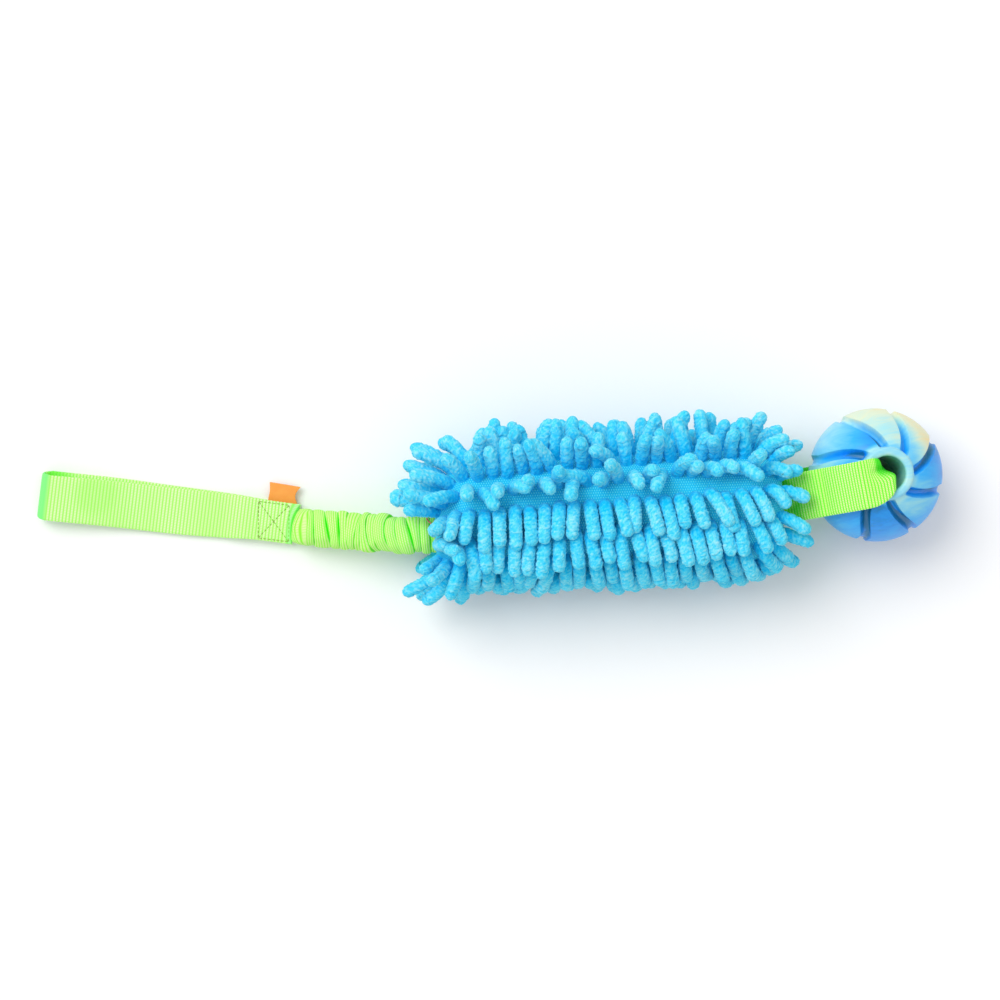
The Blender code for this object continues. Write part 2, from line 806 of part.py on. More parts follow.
def strip_mesh(name, points, half_width, half_height):
    """A flat bar of rectangular section through the points."""
    rings = []
    for i, point in enumerate(points):
        along = path_frame(points, i)
        across = Vector((0.0, 0.0, 1.0)).cross(along).normalized()
        up = along.cross(across)
        corners = ((1, 1), (-1, 1), (-1, -1), (1, -1))
        rings.append([point + across * (a * half_width) + up * (b * half_height) for a, b in corners])
    return loft(name, rings)


def core_roll(parent):
    """Wadding, turned about the body's long axis, with a slot for the strap."""
    radius = COVER_RADIUS - COVER_THICK - CORE_GAP
    half = CORE_LENGTH / 2.0
    flat = radius - CORE_ROUND
    steps = 4
    profile = [(0.0, half)]
    for i in range(steps + 1):
        turn = math.radians(90.0 * i / steps)
        profile.append((flat + CORE_ROUND * math.sin(turn), half - CORE_ROUND * (1.0 - math.cos(turn))))
    profile += [(r, -z) for r, z in reversed(profile)]
    mesh = turned("core_roll", profile, CORE_SIDES)
    mesh.transform(Matrix.Rotation(math.radians(90.0), 4, "Y"))
    made = piece("core_roll", mesh, white_wadding, parent)
    left, right = strap_ends()
    past = (right - left).normalized() * CORE_ROUND
    slot = strip_mesh(
        "strap_slot",
        [left - past, right + past],
        WEB_WIDTH / 2.0 + STRAP_SLOT_EXTRA,
        WEB_THICK / 2.0 + STRAP_SLOT_EXTRA,
    )
    boolean(made, cutter("strap_slot", slot, parent), "DIFFERENCE")
    return made


def through_strap(parent):
    left, right = strap_ends()
    mesh = strip_mesh("through_strap", [left, right], WEB_WIDTH / 2.0, WEB_THICK / 2.0)
    return piece("through_strap", mesh, green_webbing, parent)


def end_hem(name, end, hole, parent):
    """The gathered hem that closes one end of the cover round what comes out of it."""
    place, radius = hem_place(end)
    built = bmesh.new()
    bmesh.ops.create_cone(
        built,
        cap_ends=True,
        segments=HEM_SIDES,
        radius1=radius,
        radius2=radius,
        depth=HEM_THICK,
        matrix=place,
    )
    mesh = bpy.data.meshes.new(name)
    built.to_mesh(mesh)
    built.free()
    made = piece(name, mesh, blue_knit, parent)
    boolean(made, hole, "DIFFERENCE")
    return made


def hem_place(end):
    """The hem's middle, turned to face along the body, and its radius inside the cover."""
    station = cover_stations()[-1 if end > 0 else 0]
    middle, radius = cover_ring(station)
    place = Matrix.Translation(middle) @ Matrix.Rotation(math.radians(90.0), 4, "Y")
    return place, radius - COVER_THICK - 2.0 * GAP


def hem_thread(name, end, parent):
    """The drawstring stitch that gathers the hem, a ring of thread on its outer face."""
    place, radius = hem_place(end)
    out = HEM_THICK / 2.0 + GAP + HEM_THREAD
    turn = 2.0 * math.pi / HEM_SIDES
    ring_radius = radius - HEM_THREAD
    built = bmesh.new()
    rings = []
    for i in range(HEM_SIDES):
        way = Vector((math.cos(i * turn), math.sin(i * turn), 0.0))
        centre = way * ring_radius + Vector((0.0, 0.0, end * out))
        rings.append(ellipse(centre, way, Vector((0.0, 0.0, 1.0)), HEM_THREAD, HEM_THREAD, 5))
    add_loft(built, rings + [rings[0]], capped=False)
    bmesh.ops.remove_doubles(built, verts=built.verts, dist=0.000001)
    bmesh.ops.recalc_face_normals(built, faces=built.faces)
    mesh = bpy.data.meshes.new(name)
    built.to_mesh(mesh)
    built.free()
    mesh.transform(place)
    return piece(name, mesh, blue_thread, parent)


def sleeve_hole(parent):
    points = sleeve_run(SLEEVE_LENGTH - SHOULDER / 2.0, SLEEVE_LENGTH + SLEEVE_TUCK)
    radius = SLEEVE_HALF_WIDTH + GATHER_DEPTH / 2.0 + 2.0 * GAP
    return cutter("sleeve_hole", into(tube("sleeve_hole", points, radius, 4), parent), parent)


def loop_hole(parent):
    place, _ = hem_place(1)
    half = Vector((HEM_THICK, WEB_WIDTH / 2.0 + LOOP_HOLE_ROOM, LOOP_HOLE_HEIGHT / 2.0))
    mesh = box("loop_hole", -half, half)
    middle = into_frame_of(loop_frame, parent, Vector((0.0, 0.0, 0.0)))
    mesh.transform(Matrix.Translation((place.translation.x, middle.y, middle.z)))
    return cutter("loop_hole", mesh, parent)


def into_frame_of(source, target, point):
    return world_of(target).inverted() @ world_of(source) @ point


# Ball and loop

def ball_profile():
    """Half section of the ball with its bore and a raised collar at each pole."""
    steps = 3
    top = []
    for i in range(steps + 1):
        turn = math.radians(90.0 * i / steps)
        radius = BALL_BORE + COLLAR_ROUND * (1.0 - math.cos(turn))
        top.append((radius, COLLAR_TOP - COLLAR_ROUND * (1.0 - math.sin(turn))))
    top.append((COLLAR_RADIUS - COLLAR_ROUND, COLLAR_TOP))
    top.append((COLLAR_RADIUS, COLLAR_TOP - COLLAR_ROUND))
    start = COLLAR_ANGLE + COLLAR_STEP
    arcs = 7
    for i in range(arcs + 1):
        polar = math.radians(start + (90.0 - start) * i / arcs)
        top.append((BALL_RADIUS * math.sin(polar), BALL_RADIUS * math.cos(polar)))
    return top + [(r, -z) for r, z in reversed(top[:-1])]


def groove_rings(index):
    """One spiral groove from collar to collar, steep on its first side. Its sections are shares of its size."""
    rings = []
    for i in range(GROOVE_RINGS + 1):
        polar = GROOVE_FROM + (180.0 - 2.0 * GROOVE_FROM) * i / GROOVE_RINGS
        centre = groove_point(index, polar)
        along = (groove_point(index, polar + 1.0) - groove_point(index, polar - 1.0)).normalized()
        out = centre.normalized()
        side = out.cross(along)
        fade = 1.0 - GROOVE_FADE * (1.0 - math.sin(math.radians(polar)))
        wide = GROOVE_WIDTH * fade
        deep = GROOVE_DEPTH * fade
        ring = [centre + side * (-0.42 * wide) + out * GROOVE_PROUD]
        for aside, depth in ((-0.50, 0.80), (-0.22, 1.00), (0.12, 0.80)):
            ring.append(centre + side * (aside * wide) - out * (depth * deep))
        ring.append(centre + side * (0.62 * wide) + out * GROOVE_PROUD)
        rings.append(ring)
    return rings


def groove_point(index, polar):
    turn = math.radians(GROOVE_START + 360.0 * index / GROOVES + GROOVE_TWIST * (polar - GROOVE_FROM))
    down = math.radians(polar)
    flat = math.sin(down)
    return Vector((flat * math.cos(turn), flat * math.sin(turn), math.cos(down))) * BALL_RADIUS


def ball(parent):
    made = piece("ball", turned("ball", ball_profile(), BALL_SIDES), blue_rubber, parent)
    built = bmesh.new()
    for index in range(GROOVES):
        add_loft(built, groove_rings(index))
    bmesh.ops.recalc_face_normals(built, faces=built.faces)
    mesh = bpy.data.meshes.new("grooves")
    built.to_mesh(mesh)
    built.free()
    boolean(made, cutter("grooves", mesh, parent), "DIFFERENCE")
    return made


def loop_stations(side):
    """(place, half width, curl) from the mop to the middle of the bore, over or under the ball."""
    return loop_to_ball(side) + loop_into_bore(side)


def loop_to_ball(side):
    """From inside the mop, where both strands lie together, to where the strap leaves the round of the ball."""
    half = WEB_WIDTH / 2.0
    together = (WEB_THICK + GAP) * side
    round_ball = BALL_RADIUS + WEB_THICK / 2.0 + GAP + LOOP_OFF_BALL
    lead = Vector((BALL_REACH - LOOP_PARTS_AT, -abs(together)))
    rise = math.asin(round_ball / lead.length) + math.atan2(lead.y, lead.x)
    run = math.sqrt(lead.length**2 - round_ball**2)
    places = [Vector((-LOOP_TUCK, 0.0, together)), Vector((LOOP_PARTS_AT, 0.0, together))]
    for share in (0.35, 0.7):
        along = run * share
        places.append(places[1] + Vector((along * math.cos(rise), 0.0, side * along * math.sin(rise))))
    meets = 90.0 - math.degrees(rise)
    leaves = COLLAR_ANGLE + LOOP_LIFTS_BEFORE_COLLAR + side * BALL_TILT
    steps = 3
    for i in range(steps + 1):
        polar = math.radians(meets + (leaves - meets) * i / steps)
        out = Vector((-math.sin(polar), 0.0, side * math.cos(polar)))
        places.append(Vector((BALL_REACH, 0.0, 0.0)) + out * round_ball)
    return [(place, half, 0.0) for place in places]


def loop_into_bore(side):
    """Over the collar, then down into the bore, narrowing and curling as it turns, set out in the ball's tilt."""
    mouth = LOOP_MOUTH_HALF
    spare = WEB_WIDTH / 2.0 - mouth
    low = COLLAR_TOP + WEB_THICK / 2.0 + GAP
    rise = LOOP_OVER_COLLAR
    turn_at = LOOP_IN_BORE - 2.0 * LOOP_OFF_BALL
    steps = (
        (-COLLAR_RADIUS - COLLAR_ROUND / 2.0, 0.0, low + 0.2 * rise, mouth + spare, 0.0),
        (-COLLAR_RADIUS * 0.70, 0.05, low + 0.5 * rise, mouth + spare, 0.0),
        (-COLLAR_RADIUS * 0.30, 0.30, low + 0.8 * rise, mouth + 0.83 * spare, 0.0),
        (0.0, 0.60, low + rise, mouth + 0.50 * spare, 0.0),
        (turn_at, 0.85, low + 0.3 * rise, mouth + 0.06 * spare, 0.16),
        (LOOP_IN_BORE, 1.0, low - 1.4 * WEB_THICK, mouth * 0.90, 1.0),
        (LOOP_IN_BORE, 1.0, COLLAR_TOP - 2.4 * WEB_THICK, mouth * 0.86, 1.0),
        (LOOP_IN_BORE, 1.0, COLLAR_TOP / 3.0, mouth * 0.84, 1.0),
    )
    tilt = Matrix.Rotation(math.radians(BALL_TILT), 3, "Y")
    stations = []
    for x, aside, z, width, curl in steps:
        place = Vector((BALL_REACH, BALL_ASIDE * aside, 0.0)) + tilt @ Vector((x, 0.0, side * z))
        stations.append((place, width, LOOP_CURL * curl))
    return stations


def ball_loop(parent):
    """The strap over the ball, down through its bore with its edges curled in, and back under the ball."""
    stations = loop_stations(1) + list(reversed(loop_stations(-1)))
    columns = (-1.0, -0.8, -0.5, 0.0, 0.5, 0.8, 1.0)
    middles = [place for place, _, _ in stations]
    across = Vector((0.0, 1.0, 0.0))
    rows = []
    for i, (middle, half, curl) in enumerate(stations):
        normal = path_frame(middles, i).cross(across).normalized()
        rows.append([middle + across * (c * half) - normal * (curl * c * c) for c in columns])
    made = piece("ball_loop_webbing", ribbon("ball_loop_webbing", rows), green_webbing, parent)
    solidify(made, WEB_THICK)
    return made


def stand_on_origin(top):
    """Moves the toy so that the middle of its box is over the origin."""
    bpy.context.view_layer.update()
    graph = bpy.context.evaluated_depsgraph_get()
    points = []
    for made in parts.objects:
        if made.type == "MESH":
            solid = made.evaluated_get(graph)
            points += [solid.matrix_world @ vertex.co for vertex in solid.to_mesh().vertices]
            solid.to_mesh_clear()
    middle = [(min(p[i] for p in points) + max(p[i] for p in points)) / 2.0 for i in range(2)]
    top.location = (-middle[0], -middle[1], 0.0)
    bpy.context.view_layer.update()


# The scene is cleared and the toy is built

for old in list(bpy.data.objects):
    bpy.data.objects.remove(old)

parts = collection("bungee_tug_toy")
cutters = collection("cutters")

green_webbing = paint("green_webbing", (0.35, 0.95, 0.18), 0.6)
stitch_thread = paint("stitch_thread", (0.22, 0.38, 0.05), 0.6)
orange_ribbon = paint("orange_ribbon", (1.0, 0.36, 0.05), 0.5)
blue_chenille = paint("blue_chenille", (0.03, 0.46, 0.83), 0.9)
blue_knit = paint("blue_knit", (0.03, 0.38, 0.68), 0.9)
white_wadding = paint("white_wadding", (0.8, 0.8, 0.78), 0.95)
white_elastic = paint("white_elastic", (0.85, 0.85, 0.82), 0.7)
blue_rubber = paint("blue_rubber", (0.02, 0.35, 0.85), 0.4)
red_thread = paint("red_thread", (0.85, 0.1, 0.15), 0.6)

blue_thread = paint("blue_thread", (0.02, 0.30, 0.60), 0.7)

toy = frame("toy_frame", Matrix.Identity(4))
mop_frame = frame("mop_frame", pose(MOP_CENTRE, MOP_YAW), toy)
swing_at = sleeve_point(SLEEVE_LENGTH - SWING_FROM_MOP)
pull_way = (swing_at - handle_end()).to_2d()
pull_yaw = math.degrees(math.atan2(pull_way.y, pull_way.x))
bungee_frame = frame("bungee_frame", pose(swing_at, pull_yaw), toy)
sleeve_end_frame = frame("sleeve_end_frame", pose(sleeve_point(0.0), pull_yaw), bungee_frame)
handle_frame = frame("handle_frame", pose(sleeve_point(0.0), HANDLE_YAW), sleeve_end_frame)
ball_end = world_of(mop_frame) @ (Vector((MOP_LENGTH / 2.0, 0.0, 0.0)) + BALL_END_SHIFT)
loop_frame = frame("loop_frame", pose(Vector((ball_end.x, ball_end.y, BALL_HEIGHT)), LOOP_YAW), toy)
ball_place = world_of(loop_frame) @ Vector((BALL_REACH, BALL_ASIDE, 0.0))
ball_frame = frame("ball_frame", pose(ball_place, LOOP_YAW, BALL_TILT), loop_frame)

handle_webbing(handle_frame)
stitched_box("handle_box_stitch", UPPER_Z + WEB_THICK / 2.0 + THREAD_HEIGHT / 2.0 + GAP, handle_frame)
label_tab(handle_frame)
bungee_sleeve(bungee_frame)
elastic_cord(sleeve_end_frame)
sleeve_tack(mop_frame)
noodle_covers(mop_frame)
core_roll(mop_frame)
through_strap(mop_frame)
end_hem("handle_end_hem", -1, sleeve_hole(mop_frame), mop_frame)
end_hem("ball_end_hem", 1, loop_hole(mop_frame), mop_frame)
hem_thread("handle_end_hem_thread", -1, mop_frame)
hem_thread("ball_end_hem_thread", 1, mop_frame)
ball_loop(loop_frame)
ball(ball_frame)
stand_on_origin(toy)

for joint_empty in (bungee_frame, sleeve_end_frame, handle_frame, loop_frame, ball_frame):
    place = joint_empty.matrix_world
    along = place.to_3x3().col[0]
    print(joint_empty.name, [round(v, 5) for v in place.translation], [round(v, 5) for v in along])
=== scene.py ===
# %% [markdown]
# # A bungee tug toy, from frame to finish
#
# The toy is a dog's tug: a green webbing hand loop, a ruched sleeve over elastic, a soft body
# covered in chenille noodles, and a grooved rubber ball held on a webbing loop. Its working
# shapes and joints come as a fixed frame. This lesson gives each piece its cloth, thread or
# rubber, and fastens the pieces that move with one body of the frame to that body.

import json
import math

import bpy
import numpy as np
from mathutils import Matrix, Vector


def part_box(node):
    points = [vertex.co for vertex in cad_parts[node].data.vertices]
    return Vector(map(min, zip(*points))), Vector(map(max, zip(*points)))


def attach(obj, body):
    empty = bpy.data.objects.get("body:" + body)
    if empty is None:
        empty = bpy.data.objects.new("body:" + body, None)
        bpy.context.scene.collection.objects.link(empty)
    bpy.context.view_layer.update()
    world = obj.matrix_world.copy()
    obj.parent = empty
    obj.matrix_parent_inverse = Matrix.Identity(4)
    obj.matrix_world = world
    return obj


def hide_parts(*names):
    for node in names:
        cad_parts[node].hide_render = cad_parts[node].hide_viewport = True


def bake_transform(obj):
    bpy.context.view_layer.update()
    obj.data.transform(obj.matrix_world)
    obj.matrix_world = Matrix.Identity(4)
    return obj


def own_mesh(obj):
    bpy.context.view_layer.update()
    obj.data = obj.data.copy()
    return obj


MM = 0.001
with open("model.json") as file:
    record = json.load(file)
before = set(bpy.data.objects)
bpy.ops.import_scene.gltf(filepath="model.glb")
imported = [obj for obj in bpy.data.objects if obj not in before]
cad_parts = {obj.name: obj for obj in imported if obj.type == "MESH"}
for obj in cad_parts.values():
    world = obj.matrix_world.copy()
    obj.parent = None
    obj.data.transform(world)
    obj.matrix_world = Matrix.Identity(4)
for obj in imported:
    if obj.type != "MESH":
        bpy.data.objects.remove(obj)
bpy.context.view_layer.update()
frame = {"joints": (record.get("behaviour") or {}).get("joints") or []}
joints = {joint["name"]: joint for joint in frame["joints"]}

# %% [markdown]
# ## Where things are
#
# Every place is read from the frame. A joint's position and axis give a small set of axes of its
# own, so the handle can be modelled lying straight along X and the ball with its bore along Z,
# and then be set down where the frame has them. The body of the toy turns about no joint of its
# own, so its middle is read from the stuffing's box and its slight turn is a value.

# %% Axes of the handle, the body, the loop and the ball
MOP_YAW = 2.36


def axes_at(place, x_way, z_way):
    """A frame with its X and Z near these directions."""
    z = Vector(z_way).normalized()
    y = z.cross(Vector(x_way)).normalized()
    turn = Matrix((y.cross(z), y, z)).transposed()
    return Matrix.Translation(place) @ turn.to_4x4()


def middle(node):
    low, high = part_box(node)
    return (low + high) / 2.0


UP = Vector((0.0, 0.0, 1.0))
fold_axis = Vector(joints["handle_fold"]["axis"])
lift_axis = Vector(joints["ball_lift"]["axis"])
handle_axes = axes_at(joints["handle_fold"]["pos_m"], fold_axis.cross(UP), UP)
loop_axes = axes_at(joints["ball_lift"]["pos_m"], lift_axis.cross(-UP), UP)
bore_way = Vector(joints["ball_spin"]["axis"])
ball_axes = axes_at(joints["ball_spin"]["pos_m"], loop_axes.col[0].to_3d(), bore_way)
mop_axes = Matrix.Translation(middle("core_roll")) @ Matrix.Rotation(math.radians(MOP_YAW), 4, "Z")
print("handle end at", [round(v, 4) for v in handle_axes.translation])

# %% [markdown]
# ## Camera, floor and light
#
# The photograph looks straight down from about a metre and a half with a long lens, which keeps
# the toy's ends almost square to the view. The floor is white and shows white to the camera,
# while the light that it throws back is softer. A broad, high sun and an even white sky add up
# to about one, the level at which a colour renders as it is written.

# %% Camera above the toy
CAMERA_HEIGHT = 1.566
CAMERA_OVER = (0.0082, 0.0041)
FOCAL_LENGTH = 104.8
SENSOR = 36.0

scene = bpy.context.scene
camera_data = bpy.data.cameras.new("camera")
camera_data.sensor_width = SENSOR
camera_data.lens = FOCAL_LENGTH
camera = bpy.data.objects.new("camera", camera_data)
camera.location = (*CAMERA_OVER, CAMERA_HEIGHT)
scene.collection.objects.link(camera)
scene.camera = camera
scene.view_settings.view_transform = "Standard"
print("camera", CAMERA_HEIGHT, "m above the floor")

# %% [markdown]
# ## Writing a finish as sums
#
# A material is a tree of nodes, but most of what it does is arithmetic: a rib is a sine of the
# distance along the strap, a speckle is noise above a limit. This small class holds one socket
# and lets it be added, multiplied and raised to a power in plain Python, so that a finish reads
# like its formula. Every other node comes from one method.

# %% A socket that can be calculated with


class Wire:
    """One output of a node tree, to be used in expressions."""

    def __init__(self, tree, socket=None):
        self.tree = tree
        self.socket = socket

    def node(self, kind, settings=None, inputs=None, out=0):
        """Adds a node: its settings first, then the values or wires of its sockets."""
        made = self.tree.nodes.new(kind)
        for name, value in (settings or {}).items():
            if name == "stops":
                fill_ramp(made.color_ramp, value)
            else:
                setattr(made, name, value)
        for name, value in (inputs or {}).items():
            if isinstance(value, Wire):
                self.tree.links.new(value.socket, made.inputs[name])
            else:
                made.inputs[name].default_value = value
        return Wire(self.tree, made.outputs[out])

    def math(self, operation, *values):
        return self.node("ShaderNodeMath", {"operation": operation}, dict(enumerate(values)))

    def __add__(self, other):
        return self.math("ADD", self, other)

    __radd__ = __add__

    def __mul__(self, other):
        return self.math("MULTIPLY", self, other)

    __rmul__ = __mul__

    def __sub__(self, other):
        return self.math("SUBTRACT", self, other)

    def __rsub__(self, other):
        return self.math("SUBTRACT", other, self)

    def __truediv__(self, other):
        return self.math("DIVIDE", self, other)

    def __pow__(self, power):
        return self.math("POWER", self, power)

    def wave(self, pitch, shift=0.0):
        """From 0 to 1 and back over each pitch."""
        return self.math("SINE", self * (2.0 * math.pi / pitch) + shift) * 0.5 + 0.5

    def step(self, low, high):
        """A smooth step from 0 at low to 1 at high."""
        settings = {"interpolation_type": "SMOOTHSTEP"}
        return self.node("ShaderNodeMapRange", settings, {"Value": self, 1: low, 2: high})

    def mix(self, first, second):
        """The first colour where this is 0, the second where it is 1."""
        inputs = {0: self, 6: first, 7: second}
        return self.node("ShaderNodeMix", {"data_type": "RGBA"}, inputs, out=2)

    def ramp(self, stops):
        """A colour that runs through the stops, which are pairs of a place and a colour."""
        stops = [(place, colour(code)) for place, code in stops]
        return self.node("ShaderNodeValToRGB", {"stops": stops}, {0: self})

    def parts(self):
        split = self.node("ShaderNodeSeparateXYZ", inputs={0: self})
        return [Wire(self.tree, socket) for socket in split.socket.node.outputs]

    def stretched(self, x, y, z):
        settings = {"operation": "MULTIPLY"}
        return self.node("ShaderNodeVectorMath", settings, {0: self, 1: (x, y, z)})

    def noise(self, scale, detail=2.0, roughness=0.5, distortion=0.0):
        """Soft noise at this vector, in lumps of about 1 / scale."""
        inputs = {"Vector": self, "Scale": scale, "Detail": detail}
        inputs.update({"Roughness": roughness, "Distortion": distortion})
        return self.node("ShaderNodeTexNoise", inputs=inputs)

    def bump(self, distance, strength=1.0):
        inputs = {"Height": self, "Distance": distance, "Strength": strength}
        return self.node("ShaderNodeBump", inputs=inputs)


def fill_ramp(ramp, stops):
    while len(ramp.elements) < len(stops):
        ramp.elements.new(0.5)
    for element, (place, shade) in zip(ramp.elements, stops):
        element.position = place
        element.color = shade


def colour(code):
    """A colour as it looks on screen, such as #62CCF5, in the linear light that shaders use."""
    shares = [int(code[i : i + 2], 16) / 255.0 for i in (1, 3, 5)]
    return (*[s / 12.92 if s <= 0.04045 else ((s + 0.055) / 1.055) ** 2.4 for s in shares], 1.0)


def finish(name, make, **fixed):
    """A material whose changing sockets come from make(wire), the rest being plain values."""
    material = bpy.data.materials.new(name)
    material.use_nodes = True
    tree = material.node_tree
    shader = tree.nodes["Principled BSDF"]
    for socket, value in fixed.items():
        shader.inputs[socket.replace("_", " ")].default_value = value
    for socket, value in make(Wire(tree)).items():
        tree.links.new(value.socket, shader.inputs[socket.replace("_", " ")])
    return material


print("white is", colour("#FFFFFF"))

# %% Floor, sky and sun
FLOOR_SIZE = 8.0
SKY = 0.70
SUN = 0.48
SUN_SPREAD = 40.0
SUN_TILT = (-22.0, -30.0)
FLOOR_BOUNCE = colour("#F0F0F0")


def floor_white(wire):
    seen = wire.node("ShaderNodeLightPath", out="Is Camera Ray")
    shiny = wire.node("ShaderNodeLightPath", out="Is Glossy Ray")
    through = wire.node("ShaderNodeLightPath", out="Is Transmission Ray")
    shown = wire.math("MAXIMUM", wire.math("MAXIMUM", seen, shiny), through)
    return {"Base_Color": shown.mix(FLOOR_BOUNCE, colour("#FFFFFF"))}


def add_floor():
    half = FLOOR_SIZE / 2.0
    mesh = bpy.data.meshes.new("floor")
    corners = [(-half, -half, 0.0), (half, -half, 0.0), (half, half, 0.0), (-half, half, 0.0)]
    mesh.from_pydata(corners, [], [(0, 1, 2, 3)])
    mesh.materials.append(finish("floor_white", floor_white, Roughness=1.0, Specular_IOR_Level=0.0))
    made = bpy.data.objects.new("floor", mesh)
    scene.collection.objects.link(made)


def add_light():
    world = bpy.data.worlds.new("sky")
    world.use_nodes = True
    sky = world.node_tree.nodes["Background"]
    sky.inputs["Color"].default_value = (1.0, 1.0, 1.0, 1.0)
    wire = Wire(world.node_tree)
    seen = wire.node("ShaderNodeLightPath", out="Is Camera Ray")
    world.node_tree.links.new((seen * (1.0 - SKY) + SKY).socket, sky.inputs["Strength"])
    scene.world = world
    sun_data = bpy.data.lights.new("sun", "SUN")
    sun_data.energy = SUN * math.pi
    sun_data.angle = math.radians(SUN_SPREAD)
    sun = bpy.data.objects.new("sun", sun_data)
    sun.rotation_euler = [math.radians(v) for v in (*SUN_TILT, 0.0)]
    scene.collection.objects.link(sun)


add_floor()
add_light()
print("sky", SKY, "and sun", SUN)

# %% [markdown]
# ## Grids into skins
#
# Straps, noodles, the sleeve and the ball are all the same thing to a modeller: a ring of points
# carried along a line. A grid of points holds such a shape, one row a ring, and a grid can be
# worked out with whole arrays at once. Beside its place, each point keeps where it would lie on
# the cloth laid flat, under the name rest, so that a weave bends with the cloth. It also keeps a
# tint, one number that differs from noodle to noodle.
# On the sleeve, the noodles and the ball the tint also carries painted shade and light.

# %% A shape that is gathered grid by grid


class Shape:
    """Points and faces from grids, which become one piece."""

    def __init__(self):
        self.points, self.rests, self.tints, self.faces = [], [], [], []
        self.count = 0

    def add(self, points, rest, tint=0.5, loop=False):
        """Adds a grid. Its rows close into rings, and its ends are capped unless they loop."""
        rows, columns = points.shape[:2]
        index = np.arange(rows * columns).reshape(rows, columns)
        below = np.roll(index, -1, axis=0) if loop else index[1:]
        above = index if loop else index[:-1]
        quads = [above, np.roll(above, -1, axis=1), np.roll(below, -1, axis=1), below]
        quads = np.stack(quads, axis=-1).reshape(-1, 4)
        flat = points.reshape(-1, 3)
        ends = [] if loop else [index[0][::-1].tolist(), index[-1].tolist()]
        a, b, c, d = (flat[quads[:, k]] - flat.mean(axis=0) for k in range(4))
        volume = (np.cross(a, b) * c).sum() + (np.cross(a, c) * d).sum()
        faces = quads.tolist() + ends
        if volume < 0.0:
            faces = [face[::-1] for face in faces]
        self.faces += [[corner + self.count for corner in face] for face in faces]
        self.points.append(flat)
        self.rests.append(np.broadcast_to(rest, points.shape).reshape(-1, 3))
        self.tints.append(np.broadcast_to(tint, (rows, columns)).reshape(-1))
        self.count += len(flat)

    def piece(self, name, material, slot, axes=Matrix.Identity(4)):
        """The piece, set down in its axes, with its rest and tint kept on its points."""
        mesh = bpy.data.meshes.new(name)
        mesh.from_pydata(np.concatenate(self.points).tolist(), [], self.faces)
        mesh.transform(axes)
        rest = mesh.attributes.new("rest", "FLOAT_VECTOR", "POINT")
        rest.data.foreach_set("vector", np.concatenate(self.rests).astype(np.float32).ravel())
        tint = mesh.attributes.new("tint", "FLOAT", "POINT")
        tint.data.foreach_set("value", np.concatenate(self.tints).astype(np.float32))
        mesh.shade_smooth()
        mesh.materials.append(material)
        made = bpy.data.objects.new(name, mesh)
        scene.collection.objects.link(made)
        print(f"{name}: {len(mesh.vertices)} points")
        return made


def rest_of(wire):
    return wire.node("ShaderNodeAttribute", {"attribute_name": "rest"}, out="Vector")


def tint_of(wire):
    return wire.node("ShaderNodeAttribute", {"attribute_name": "tint"}, out="Fac")


def unit(vectors):
    return vectors / np.linalg.norm(vectors, axis=-1, keepdims=True)


def ease(value):
    """A smooth step from 0 to 1."""
    held = np.clip(value, 0.0, 1.0)
    return held * held * (3.0 - 2.0 * held)


def runs_of(line):
    """How far along a line each of its points is."""
    return np.concatenate([[0.0], np.cumsum(np.linalg.norm(np.diff(line, axis=0), axis=1))])


def stacked(*parts):
    """Vectors with these arrays as their coordinates."""
    return np.stack(np.broadcast_arrays(*parts), axis=-1)


def full_turn(count):
    """Angles all the way round, the last one short of the first."""
    return np.arange(count) * 2.0 * math.pi / count


def spaced(line, step):
    """The line again with its points a step apart, and how far along each one is."""
    along = runs_of(line)
    at = np.linspace(0.0, along[-1], max(2, int(round(along[-1] / step)) + 1))
    return np.stack([np.interp(at, along, line[:, k]) for k in range(line.shape[1])], axis=1), at


def smoothed(values, times):
    """The values with each one's neighbours mixed in, the ends held."""
    for _ in range(times):
        values[1:-1] = values[1:-1] * 0.5 + (values[:-2] + values[2:]) * 0.25
    return values


# %% [markdown]
# ## Webbing
#
# The green strap is nylon webbing with fine ribs across it. A texture alone would leave its edge
# straight and its ribs flat from the side, so the ribs are raised in the mesh, eight rows to a
# rib, and they nick the edges as well. Only the tiny dots of the weave are left to the material:
# they sit on each rib, and step aside by half a dot from one rib to the next. The material also
# paints light on the ribs' tops and shade between them, and paints the dots pale as highlights.

# %% A strap with ribs
WEB_THICK = 1.7 * MM
RIB_RELIEF = 0.17 * MM
EDGE_NICK = 0.16 * MM
ROWS_A_RIB = 8
RIB_ROUND = 0.75
# The columns stand closer at the strap's edges, which are rounded by a steep power.
CROWD = 0.35
EDGE_POWER = 14


def rib_height(along, pitch):
    """From -1 in the groove between ribs to 1 on a rib."""
    return 2.0 * np.abs(np.sin(math.pi * along / pitch)) ** RIB_ROUND - 1.0


def section(columns):
    """Once round the strap: the share across and the share of the thickness."""
    even = np.linspace(-1.0, 1.0, columns)
    across = np.sin(even * math.pi / 2.0) * CROWD + even * (1.0 - CROWD)
    thick = (1.0 - np.abs(across) ** EDGE_POWER) ** 0.5
    shares = np.concatenate([across, across[::-1]])
    return shares, np.concatenate([thick, -thick[::-1]])


def strap_grid(line, across, half, pitch, lift=0.0, columns=17, thick=WEB_THICK, dip=0.0):
    """Rings round a strap. Lift raises columns along the normal, and dip presses the top in."""
    along = runs_of(line)
    shares, heights = section(columns)
    ribs = rib_height(along, pitch)[:, None]
    normal = unit(np.cross(across, np.gradient(line, axis=0)))
    reach = (half[:, None] + EDGE_NICK * 0.5 * (ribs - 1.0)) * shares
    raised = heights * (thick / 2.0 + RIB_RELIEF * 0.5 * (ribs - 1.0))
    raised = raised + lift - dip * (heights > 0.0)
    points = line[:, None] + across[:, None] * reach[..., None] + normal[:, None] * raised[..., None]
    return points, stacked(along[:, None], reach, raised)


# %% Webbing's finish
DOT = 0.87 * MM
WEAVE_BUMP = 0.12 * MM


